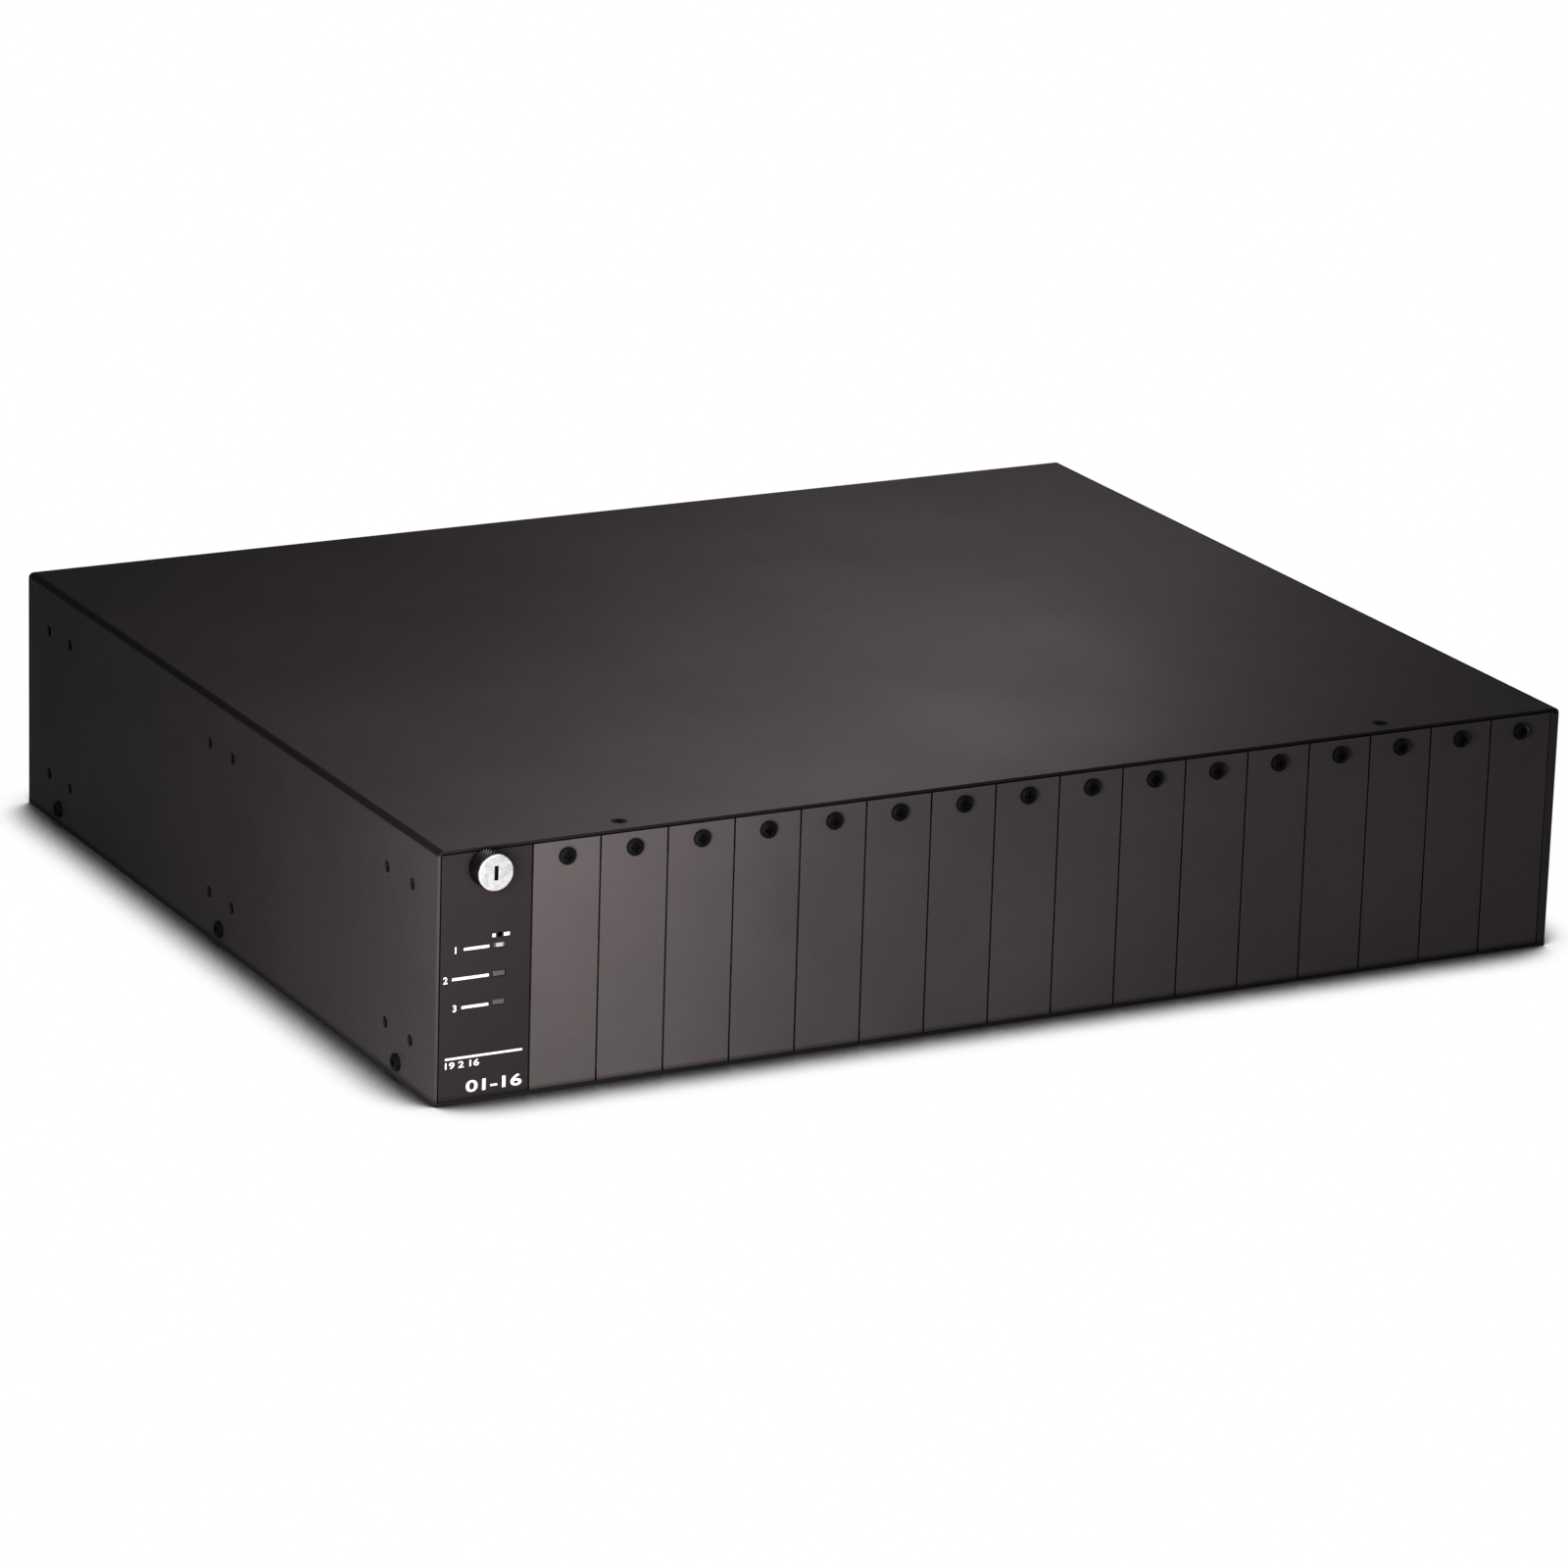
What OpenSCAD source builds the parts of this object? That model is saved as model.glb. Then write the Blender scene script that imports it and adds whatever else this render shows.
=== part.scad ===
// Rack chassis, two units high, with sixteen narrow bays behind blank slot covers.
// +X is right, +Y is back and +Z is up. The origin is the middle of the footprint.

/* [Chassis] */
// Width over the cover's sides
body_w = 438; // [425:1:445]
// Depth from front edge to rear edge
body_d = 360; // [340:1:420]
// Height of the case
body_h = 88.9; // [86:0.1:96]
// Thickness of the folded sheet
sheet = 1; // [0.8:0.1:1.4]
// Gap between the cover and the tray that it wraps
wrap_gap = 0.1; // [0.05:0.05:0.2]
// Outside radius of the cover's long bends
bend_r = 2; // [1.6:0.1:3]

/* [Bays] */
// Number of bays
bay_count = 16; // [2:1:16]
// Distance from the left side to the first slot cover
control_w = 34.6; // [33:0.1:40]
// Distance from the last slot cover to the right side
end_w = 3.4; // [3:0.1:8]
// Thickness of the slot covers
plate_t = 1.2; // [1:0.1:1.6]
// Gap between neighbouring slot covers
slot_gap = 0.7; // [0.4:0.1:1.2]
// Gap between a slot cover and the rail behind it
seat_gap = 0.2; // [0.1:0.05:0.4]
// Gap above and below a slot cover
edge_gap = 0.5; // [0.2:0.1:0.8]
// Distance of the slot cover screws below the top of the case
screw_drop = 6.9; // [6:0.1:8]
// Height of the front lip that takes the covers' tabs
lip_h = 4; // [4:0.1:6]
// Width of a slot cover's tab
tab_w = 8.8; // [6:0.1:12]
// Length of a slot cover's tab behind the cover
tab_l = 5; // [4:0.1:8]

/* [Front rail] */
// Thickness of the tapped rail
rail_t = 3; // [2.5:0.1:4]
// Height of the tapped rail
rail_h = 9.8; // [9:0.1:12]
// Reach of the rail's top flange
rail_flange = 10.6; // [9:0.1:14]
// Thickness of the rail's top flange
rail_flange_t = 2.5; // [2:0.1:3]

/* [Screws] */
// Radius of an M3 screw's shank
m3_r = 1.5; // [1.3:0.05:1.6]
// Radius of an M3 screw's pan head
m3_head_r = 3; // [2.6:0.1:3.2]
// Height of an M3 screw's pan head
m3_head_h = 1.6; // [1.2:0.1:2]
// Length of an M3 screw's shank
m3_l = 6; // [5.5:0.1:7]
// Radial gap between a shank and its hole
thread_gap = 0.05; // [0.02:0.01:0.08]
// Distance of the front top screws from the middle
top_screw_x = 149; // [120:1:170]
// Distance of the top screws behind the front edge
top_screw_y = 7.8; // [7.6:0.1:9]
// Distance of the outer side screws from the middle
side_screw_y = 150; // [130:1:160]
// Length of a side screw's shank
side_screw_l = 2.4; // [2.2:0.1:2.5]
// Height of the side screws
side_screw_z = 6; // [5:0.1:8]

/* [Rack ear holes] */
// Radius of a fixing hole
ear_hole_r = 2.1; // [1.6:0.05:2.6]
// Spacing of the holes along the depth
ear_pitch_y = 20; // [15:0.5:25]
// Spacing of the holes along the height
ear_pitch_z = 55; // [50:0.5:60]
// Distance of the outer hole groups from the middle
ear_group_y = 150; // [130:1:155]

/* [Backplane] */
// Distance of the backplane behind the front edge
backplane_y = 120; // [110:1:125]
// Thickness of each circuit board
board_t = 1.6; // [1.2:0.1:2.4]
// Height of a DC plug's axis
plug_z = 24; // [20:0.5:40]
// Radius of a DC plug's barrel
plug_r = 2.75; // [2.5:0.05:3]
// Radius of a DC plug's bore
plug_bore_r = 1.05; // [0.9:0.05:1.3]
// Length of a DC plug's barrel
plug_l = 9; // [7:0.5:11]

/* [Control module] */
// Distance of the indicators' axis from the left side
light_x = 23; // [21:0.1:25]
// Height of the first indicator
light_z = 54; // [50:0.5:56]
// Spacing of the indicators
light_pitch = 10; // [8:0.5:12]
// Height of the reset pinhole
reset_z = 57.6; // [57.5:0.1:64]
// Distance of the thumbscrew's axis from the left side
thumb_x = 17.5; // [15:0.1:20]
// Radius of the thumbscrew's head
thumb_r = 6.5; // [5:0.1:7]
// Length of the thumbscrew's head
thumb_l = 8; // [6:0.1:10]

/* [Fans] */
// Side of a fan frame
fan_w = 60; // [50:1:60]
// Depth of a fan frame
fan_d = 25; // [20:1:28]
// Number of blades on a fan rotor
blade_count = 7; // [3:1:9]

/* [Power bays] */
// Distance of each power bay from the side wall
power_edge = 11.9; // [11:0.1:14]
// Width of a power bay
power_w = 100; // [90:1:102]
// Height of a power bay above the floor
power_h = 79; // [74:0.5:80]
// Clearance round the power module
power_gap = 0.4; // [0.3:0.05:0.6]
// Reach of the module's handle
handle_reach = 28; // [24:1:34]
// Spacing of the handle's legs
handle_w = 50; // [40:1:60]
// Radius of the handle's rod
handle_r = 2.5; // [2:0.1:3]

/* [Hidden] */
$fn = 48;
over = 1;             // overrun of every cut
BAYS = [for (i = [1 : bay_count]) str("slot_cover_", i < 10 ? "0" : "", i)];
BAY_SCREWS = [for (i = [1 : bay_count]) str("slot_cover_screw_", i < 10 ? "0" : "", i)];

// Shell planes
front_y = -body_d / 2;
rear_y = body_d / 2;
cover_in = body_w / 2 - sheet;
wall_out = cover_in - wrap_gap;
wall_in = wall_out - sheet;
roof_z = body_h - sheet;
tray_top = roof_z - wrap_gap;
wall_top = body_h - bend_r - wrap_gap; // clear of the cover's inner bend
ear_group_z = body_h / 2;

// Bays
bay_pitch = (body_w - control_w - end_w) / bay_count;
first_divider = control_w - body_w / 2;
plate_lo = sheet + seat_gap;
plate_hi = roof_z - edge_gap;
screw_z = body_h - screw_drop;
rail_y = front_y + plate_t + seat_gap;
lip_t = sheet;
lip_top = sheet + lip_h;
tab_t = 1.2;
tab_z = sheet + lip_h / 2;
tab_gap = 0.4;
guide_front = rail_y + rail_t;
board_y = front_y + backplane_y;
board_back = board_y + board_t;
function divider_x(i) = first_divider + i * bay_pitch;
function bay_x(i) = divider_x(i) + bay_pitch / 2;

// Card guides
fin_t = 1.6;
fin_h = 7;
ledge_w = 6;
guide_gap = 0.5;      // gap between a guide and what it ends against
last_guide_x = wall_in - guide_gap;

// Screw heads
shoulder_share = 0.6; // part of a head's height that is straight
crown_share = 0.7;    // radius of a head's flat top as a part of its radius
recess_w = 0.9;       // width of a cross recess
recess_d = 0.8;       // depth of a cross recess
recess_l = 3.2;       // length of a cross recess
flush_r = 2.8;        // radius of a flush screw's head

// Backplane
board_lo = sheet + lip_h + wrap_gap;
board_hi = 80;
plug_block = 12;      // side of a DC plug's block
plug_block_d = 10;    // depth of a DC plug's block
vent_w = 8;           // width of an air slot in the backplane
vent_h = 30;          // height of an air slot in the backplane
vent_z = 40;          // lowest edge of the air slots
bracket_h = 20;       // height of the backplane's bracket
bracket_foot = 10;    // reach of the bracket's foot
board_screw_z = 16;   // height of the backplane's screws
board_screw_step = 4; // bays from one backplane screw to the next
socket_w = 34;
socket_h = 18;
socket_d = 15.4;
socket_z = 40;
blade_w = 1.2;
blade_h = 8;
blade_l = 8;
blade_pitch = 9;
blade_gap = 0.4;

// Control module
control_lo = -cover_in + edge_gap;
control_hi = first_divider - slot_gap / 2;
light_cx = light_x - body_w / 2;
thumb_cx = thumb_x - body_w / 2;
light_w = 4.5;
light_h = 2;
light_depth = 9;      // length of a light pipe
light_back = 3;       // depth of the lamp behind a light pipe
window_gap = 0.1;
pinhole_r = 1;
reset_r = 1.25;
reset_fit = 0.06;     // radial clearance of the reset button
reset_set = 3.4;      // distance of the button's face behind the front edge
reset_l = 4;
reset_travel = 0.5;
reset_box = 5;        // side of the reset switch's body
board_inset = 15;     // distance of the control board from the left side
control_board_lo = 9;
control_board_hi = 74;
control_board_d = 104;
bracket_tab = 7;      // height of the plate's two board tabs
bracket_reach = 10;
thumb_shank_r = 2;
thumb_gap = 0.05;
knurl_count = 24;
knurl_r = 0.45;
slot_w = 1.2;         // width of the thumbscrew's driver slot
slot_l = 5;
slot_d = 1.2;
head_gap = 0.1;       // gap under a captive screw's head

// Rear panel and fans
panel_in = rear_y - sheet;
fan_z = body_h / 2;
fan_rim = 1.5;        // least wall round a fan's bore
bore_r = fan_w / 2 - fan_rim;
hub_r = 13;
strut_w = 4;
strut_t = 3;
rotor_d = 16;
blade_t = 1.4;
blade_tip_gap = 1;
blade_r = bore_r - blade_tip_gap;
blade_tilt = 38;
blade_sink = 1;       // depth of a blade's root in the hub
fan_hole_in = 5;      // distance of a fan's fixing hole from the edge
fan_hole = fan_w / 2 - fan_hole_in;
fan_screw_r = 2;
ring_w = 3.6;         // width of a grille slot
ring_pitch = 6;       // spacing of the grille slots
ring_first = 8;       // inner radius of the first grille slot
ring_count = 3;
spoke_w = 3;

// Power bays
power_x = wall_in - power_edge - power_w / 2;
face_over = 10;       // overlap of a face plate beside its bay
face_rise = 5;        // overlap of a face plate above its bay
plug_gap = 2;         // gap between the power plug and its socket
plug_flange_w = 30;
plug_flange_h = 14;
plug_flange_t = 6;
case_w = power_w - 2 * power_gap;
case_lo = sheet + power_gap;
case_hi = sheet + power_h - power_gap;
case_front = board_back + socket_d + plug_gap + plug_flange_t;
case_t = 1;
face_lo = rear_y + seat_gap;
face_hi = face_lo + plate_t;
face_w = power_w + 2 * face_over;
face_top = sheet + power_h + face_rise;
knob_r = 4.5;
knob_l = 9;
knob_x = (face_w + power_w) / 4;
knob_z = (case_lo + face_top) / 2;
fan_x = (power_x - knob_x - m3_r) / 2;
knob_recess = 5;      // length of a rear thumbscrew's driver slot
inlet_w = 56;
inlet_h = 27;
inlet_t = 2;
inlet_z = 26;
inlet_off = 8;        // distance of the inlet's middle from the module's middle
body_inset = 1.5;     // step from the inlet's bezel to its body
inlet_depth = 22;
recess_off = 12;      // distance of the mains recess from the inlet's middle
mains_w = 24.2;
mains_h = 16.6;
mains_d = 18.4;
pin_w = 2;
pin_h = 4;
pin_l = 13;
pin_pitch = 14;
earth_up = 2;
well_off = 15;        // distance of the rocker from the inlet's middle
well_w = 13;
well_h = 19;
well_d = 14;
rocker_gap = 0.5;
rocker_tilt = 7;
rocker_half = 8.2;
rocker_rise = 6.6;
rocker_drop = 5;
rocker_dip = 2.4;
pivot_in = 4.5;       // depth of the rocker's pivot below the bezel's face
handle_z = 63;
handle_bend = 7;
grille_count = 5;
grille_pitch = 5;
grille_w = 2.4;
grille_off = 39;      // distance of the module's grille from its middle
power_board_t = 1.6;
power_board_rise = 5;
board_margin = 4;
coil_w = 34;          // side of the transformer
coil_h = 30;
sink_h = 42;          // height of a heat sink
sink_t = 4;
sink_l = 90;
sink_x = 38;
can_r = 11;           // radius of a capacitor
can_h = 36;
can_y = 60;
can_x = 16;

// Places on the module's face plate, from the middle of its bay
inlet_x = power_x + inlet_off;
recess_x = inlet_x + recess_off;
well_x = inlet_x - well_off;
bezel_y = face_hi + inlet_t;
inlet_body_w = inlet_w - 2 * body_inset;
inlet_body_h = inlet_h - 2 * body_inset;

steel_grey = [0.20, 0.19, 0.18];
plate_grey = [0.30, 0.28, 0.28];
black = [0.05, 0.05, 0.05];
zinc = [0.72, 0.72, 0.70];
green = [0.10, 0.32, 0.16];
nylon = [0.86, 0.85, 0.80];

module block(lo, hi) {
    translate(lo) cube(hi - lo);
}

// A cylinder along Y from y0 to y1
module rod_y(x, z, r, y0, y1) {
    translate([x, y0, z]) rotate([-90, 0, 0]) cylinder(r = r, h = y1 - y0);
}

// A pan head screw on +Z, the underside of its head at 0
module pan_screw(head_r, head_h, shank_r, shank_l) {
    difference() {
        rotate_extrude() polygon([
            [0, -shank_l], [shank_r, -shank_l], [shank_r, 0], [head_r, 0],
            [head_r, head_h * shoulder_share], [head_r * crown_share, head_h], [0, head_h]
        ]);
        for (turn = [0, 90]) rotate([0, 0, turn])
            block([-recess_l / 2, -recess_w / 2, head_h - recess_d], [recess_l / 2, recess_w / 2, head_h + over]);
    }
}

// A pan head screw whose head is on the front side
module front_screw(x, z, y) {
    translate([x, y, z]) rotate([90, 0, 0]) pan_screw(m3_head_r, m3_head_h, m3_r, m3_l);
}

// A knurled captive thumbscrew on +Z, the underside of its head at 0
module thumb_head(head_r, head_l, slot) {
    difference() {
        rotate_extrude() polygon([
            [0, 0], [head_r, 0], [head_r, head_l - knurl_r], [head_r - knurl_r, head_l], [0, head_l]
        ]);
        for (i = [0 : knurl_count - 1]) rotate([0, 0, i * 360 / knurl_count])
            translate([head_r - knurl_r, 0, -over]) rotate([0, 0, -45])
                cube([2 * knurl_r, 2 * knurl_r, head_l + 2 * over]);
        block([-slot / 2, -slot_w / 2, head_l - slot_d], [slot / 2, slot_w / 2, head_l + over]);
    }
}

// Places shared by the cover and the tray
module side_screw_places() {
    for (side = [0, 1], y = [-side_screw_y, 0, side_screw_y])
        mirror([side, 0, 0]) translate([-body_w / 2, y, side_screw_z]) rotate([0, -90, 0]) children();
}

module side_drill(r, x, y, z) {
    translate([x, y, z]) rotate([0, 90, 0]) cylinder(r = r, h = 4 * sheet, center = true);
}

module ear_holes() {
    for (side = [-1, 1], group = [-ear_group_y, 0, ear_group_y], dy = [-1, 1], dz = [-1, 1])
        side_drill(ear_hole_r, side * body_w / 2, group + dy * ear_pitch_y / 2, ear_group_z + dz * ear_pitch_z / 2);
}

module side_screw_holes(r) {
    side_screw_places() cylinder(r = r, h = 6 * sheet, center = true);
}

// Folded tray: floor, side walls, front lip and the closing strip at the right
module base_tray() color(steel_grey) difference() {
    union() {
        block([-wall_out, front_y, 0], [wall_out, panel_in, sheet]);
        block([-wall_out, rail_y, 0], [-wall_in, rear_y, wall_top]);
        block([wall_in, front_y, 0], [wall_out, rear_y, wall_top]);
        block([-wall_in, rail_y, 0], [wall_in, rail_y + lip_t, lip_top]);
        block([divider_x(bay_count) + wrap_gap, front_y, 0], [wall_in, front_y + sheet, tray_top]);
    }
    for (i = [0 : bay_count - 1]) tab_slot(bay_x(i));
    tab_slot(thumb_cx);
    ear_holes();
    side_screw_holes(m3_r + thread_gap);
}

module tab_slot(x) {
    block(
        [x - tab_w / 2 - tab_gap, rail_y - over, tab_z - tab_t / 2 - tab_gap],
        [x + tab_w / 2 + tab_gap, rail_y + lip_t + over, tab_z + tab_t / 2 + tab_gap]
    );
}

// Cross-section of the folded cover, open at the bottom
module cover_outline(half, top, r) {
    translate([-half, 0]) square([2 * half, top - r]);
    translate([-half + r, 0]) square([2 * (half - r), top]);
    for (side = [-1, 1]) translate([side * (half - r), top - r]) circle(r = r);
}

module top_cover() color(steel_grey) difference() {
    translate([0, rear_y, 0]) rotate([90, 0, 0]) linear_extrude(body_d) difference() {
        cover_outline(body_w / 2, body_h, bend_r);
        translate([0, -over]) cover_outline(cover_in, roof_z + over, bend_r - sheet);
    }
    ear_holes();
    side_screw_holes(m3_r + thread_gap);
    for (side = [-1, 1]) translate([side * top_screw_x, front_y + top_screw_y, roof_z])
        cylinder(r1 = m3_r + thread_gap, r2 = flush_r + thread_gap, h = sheet);
    for (side = [-1, 1]) translate([side * top_screw_x, front_y + top_screw_y, roof_z - over])
        cylinder(r = m3_r + thread_gap, h = 2 * over);
}

// Punched air grille: rings of slots between four spokes
module grille_cut() {
    for (i = [0 : ring_count - 1]) difference() {
        cylinder(r = ring_first + i * ring_pitch + ring_w, h = 4 * sheet, center = true);
        cylinder(r = ring_first + i * ring_pitch, h = 5 * sheet, center = true);
        for (turn = [45, 135]) rotate([0, 0, turn])
            cube([fan_w, spoke_w, 5 * sheet], center = true);
    }
}

module fan_corners(x) {
    for (dx = [-1, 1], dz = [-1, 1]) translate([x + dx * fan_hole, 0, fan_z + dz * fan_hole]) children();
}

module rear_panel() color(steel_grey) difference() {
    block([-wall_in, panel_in, 0], [wall_in, rear_y, tray_top]);
    for (side = [-1, 1]) {
        block(
            [side * power_x - power_w / 2, panel_in - over, sheet],
            [side * power_x + power_w / 2, rear_y + over, sheet + power_h]
        );
        translate([side * fan_x, rear_y - sheet / 2, fan_z]) rotate([90, 0, 0]) grille_cut();
        fan_corners(side * fan_x) rod_y(0, 0, fan_screw_r + thread_gap, panel_in - over, rear_y + over);
        for (knob = [-1, 1])
            rod_y(side * power_x + knob * knob_x, knob_z, m3_r + thread_gap, panel_in - over, rear_y + over);
    }
}

module case_screws() color(black) {
    side_screw_places() pan_screw(m3_head_r, m3_head_h, m3_r, side_screw_l);
    for (side = [-1, 1]) translate([side * top_screw_x, front_y + top_screw_y, body_h]) flush_screw();
    for (i = [0 : board_screw_step : bay_count]) front_screw(board_screw_x(i), board_screw_z, board_y);
}

function board_screw_x(i) = min(divider_x(i), last_guide_x - m3_head_r);

// A flush screw on +Z with its flat head at 0
module flush_screw() {
    difference() {
        rotate_extrude() polygon([
            [0, -m3_l], [m3_r, -m3_l], [m3_r, -sheet], [flush_r, 0], [0, 0]
        ]);
        for (turn = [0, 90]) rotate([0, 0, turn])
            block([-recess_l / 2, -recess_w / 2, -recess_d], [recess_l / 2, recess_w / 2, over]);
    }
}

module front_rail() color(steel_grey) difference() {
    union() {
        block([-wall_in + wrap_gap, rail_y, tray_top - rail_h], [wall_in - wrap_gap, rail_y + rail_t, tray_top]);
        block(
            [-wall_in + wrap_gap, rail_y, tray_top - rail_flange_t],
            [wall_in - wrap_gap, rail_y + rail_t + rail_flange, tray_top]
        );
    }
    for (i = [0 : bay_count - 1]) rod_y(bay_x(i), screw_z, m3_r + thread_gap, rail_y - over, rail_y + rail_t + over);
    rod_y(thumb_cx, screw_z, thumb_shank_r + thumb_gap, rail_y - over, rail_y + rail_t + over);
    for (side = [-1, 1]) translate([side * top_screw_x, front_y + top_screw_y, tray_top - rail_flange_t - over])
        cylinder(r = m3_r + thread_gap, h = rail_flange_t + 2 * over);
}

// Moulded guides between the bays: a finned ledge below and a plain fin above
module card_guides() color(nylon) for (i = [0 : bay_count]) {
    low_x = divider_x(i) - fin_t / 2;
    block(
        [divider_x(i) - ledge_w / 2, guide_front, sheet],
        [min(divider_x(i) + ledge_w / 2, last_guide_x), board_y - guide_gap, lip_top]
    );
    block([low_x, guide_front, sheet], [min(low_x + fin_t, last_guide_x), board_y - guide_gap, lip_top + fin_h]);
    block(
        [low_x, guide_front + rail_flange + guide_gap, tray_top - rail_h],
        [min(low_x + fin_t, last_guide_x), board_y - guide_gap, tray_top]
    );
}

module backplane_board() color(green) difference() {
    block([-wall_in + board_margin, board_y, board_lo], [wall_in - guide_gap, board_back, board_hi]);
    for (i = [0 : bay_count - 1]) block(
        [bay_x(i) - vent_w / 2, board_y - over, vent_z + socket_h / 2],
        [bay_x(i) + vent_w / 2, board_back + over, vent_z + socket_h / 2 + vent_h - board_margin]
    );
    for (i = [0 : board_screw_step : bay_count])
        rod_y(board_screw_x(i), board_screw_z, m3_r + thread_gap, board_y - over, board_back + over);
}

// Folded angle that holds the backplane up from the floor
module backplane_bracket() color(zinc) difference() {
    union() {
        block([-wall_in + board_margin, board_back, sheet], [wall_in - guide_gap, board_back + sheet, sheet + bracket_h]);
        block([-wall_in + board_margin, board_back, sheet], [wall_in - guide_gap, board_back + bracket_foot, 2 * sheet]);
    }
    for (i = [0 : board_screw_step : bay_count])
        rod_y(board_screw_x(i), board_screw_z, m3_r + thread_gap, board_y - over, board_back + sheet + over);
}

module dc_plugs() color(black) for (i = [0 : bay_count - 1]) {
    block(
        [bay_x(i) - plug_block / 2, board_y - plug_block_d, plug_z - plug_block / 2],
        [bay_x(i) + plug_block / 2, board_y, plug_z + plug_block / 2]
    );
    difference() {
        rod_y(bay_x(i), plug_z, plug_r, board_y - plug_block_d - plug_l, board_y - plug_block_d);
        rod_y(bay_x(i), plug_z, plug_bore_r, board_y - plug_block_d - plug_l - over, board_y - plug_block_d);
    }
}

module power_sockets() color(black) for (side = [-1, 1]) translate([side * power_x, 0, 0]) difference() {
    block(
        [-socket_w / 2, board_back, socket_z - socket_h / 2],
        [socket_w / 2, board_back + socket_d, socket_z + socket_h / 2]
    );
    for (i = [-1 : 1]) block(
        [i * blade_pitch - blade_w / 2 - blade_gap, board_back + socket_d - blade_l, socket_z - blade_h / 2 - blade_gap],
        [i * blade_pitch + blade_w / 2 + blade_gap, board_back + socket_d + over, socket_z + blade_h / 2 + blade_gap]
    );
}

// Plate with a screw hole and, behind its lower edge, a tab for the front lip
module front_plate(lo_x, hi_x, screw_x, hole_r) {
    difference() {
        union() {
            block([lo_x, front_y, plate_lo], [hi_x, front_y + plate_t, plate_hi]);
            block(
                [screw_x - tab_w / 2, front_y, tab_z - tab_t / 2],
                [screw_x + tab_w / 2, front_y + plate_t + tab_l, tab_z + tab_t / 2]
            );
        }
        rod_y(screw_x, screw_z, hole_r, front_y - over, front_y + plate_t + over);
    }
}

module slot_cover(i) color(plate_grey)
    front_plate(divider_x(i) + slot_gap / 2, divider_x(i + 1) - slot_gap / 2, bay_x(i), m3_r + thread_gap);

module slot_cover_screw(i) color(black) front_screw(bay_x(i), screw_z, front_y);

function light_height(i) = light_z - i * light_pitch;

module control_plate() color(plate_grey) difference() {
    union() {
        front_plate(control_lo, control_hi, thumb_cx, thumb_shank_r + thumb_gap);
        for (z = [control_board_lo, control_board_hi - bracket_tab]) block(
            [board_x() + board_t, front_y, z],
            [board_x() + board_t + sheet, front_y + plate_t + bracket_reach, z + bracket_tab]
        );
    }
    for (i = [0 : 2]) block(
        [light_cx - light_w / 2 - window_gap, front_y - over, light_height(i) - light_h / 2 - window_gap],
        [light_cx + light_w / 2 + window_gap, front_y + plate_t + over, light_height(i) + light_h / 2 + window_gap]
    );
    rod_y(light_cx, reset_z, pinhole_r, front_y - over, front_y + plate_t + over);
}

function board_x() = board_inset - body_w / 2;

// Upright board behind the control plate, with the reset switch's body
module control_board() color(green) difference() {
    union() {
        block(
            [board_x(), front_y + plate_t + seat_gap + rail_t, control_board_lo],
            [board_x() + board_t, front_y + plate_t + control_board_d, control_board_hi]
        );
        block(
            [board_x(), front_y + reset_set + reset_travel + reset_l / 2, reset_z - reset_box / 2],
            [light_cx + reset_box / 2, front_y + reset_set + reset_travel + 2 * reset_l, reset_z + reset_box / 2]
        );
    }
    rod_y(
        light_cx, reset_z, reset_r + reset_fit,
        front_y + reset_set, front_y + reset_set + reset_travel + reset_l + reset_fit
    );
}

module status_lights() color("white") for (i = [0 : 2]) {
    block(
        [light_cx - light_w / 2, front_y + window_gap, light_height(i) - light_h / 2],
        [light_cx + light_w / 2, front_y + light_depth, light_height(i) + light_h / 2]
    );
    block(
        [board_x() + board_t, front_y + light_depth - light_back, light_height(i) - light_h / 2],
        [light_cx, front_y + light_depth, light_height(i) + light_h / 2]
    );
}

module reset_button() color(black)
    rod_y(light_cx, reset_z, reset_r, front_y + reset_set, front_y + reset_set + reset_l);

module control_thumbscrew() color(zinc) translate([thumb_cx, front_y - head_gap, screw_z]) rotate([90, 0, 0]) {
    rotate([0, 0, 90]) thumb_head(thumb_r, thumb_l, slot_l);
    translate([0, 0, -rail_t - 2 * plate_t]) cylinder(r = thumb_shank_r, h = rail_t + 2 * plate_t);
}

module fan_frames() color(black) for (side = [-1, 1]) translate([side * fan_x, 0, fan_z]) {
    difference() {
        block([-fan_w / 2, panel_in - fan_d, -fan_w / 2], [fan_w / 2, panel_in, fan_w / 2]);
        rod_y(0, 0, bore_r, panel_in - fan_d - over, panel_in + over);
        for (dx = [-1, 1], dz = [-1, 1])
            rod_y(dx * fan_hole, dz * fan_hole, fan_screw_r + thread_gap, panel_in - fan_d - over, panel_in + over);
    }
    rod_y(0, 0, hub_r, panel_in - fan_d, panel_in - fan_d + strut_t);
    for (turn = [0, 120, 240]) rotate([0, turn, 0]) block(
        [hub_r - over, panel_in - fan_d, -strut_w / 2],
        [bore_r + over, panel_in - fan_d + strut_t, strut_w / 2]
    );
}

module fan_screws() color(zinc) for (side = [-1, 1]) fan_corners(side * fan_x)
    translate([0, rear_y, 0]) rotate([-90, 0, 0]) pan_screw(m3_head_r, m3_head_h, fan_screw_r, 2 * m3_l);

module fan_rotor(side) color(black) translate([side * fan_x, panel_in - fan_d / 2, fan_z]) {
    rod_y(0, 0, hub_r, -rotor_d / 2, rotor_d / 2);
    for (i = [0 : blade_count - 1]) rotate([0, i * 360 / blade_count, 0]) rotate([0, 0, blade_tilt])
        translate([0, 0, (hub_r + blade_r - blade_sink) / 2])
            cube([blade_t, rotor_d, blade_r - hub_r + blade_sink], center = true);
}

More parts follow.
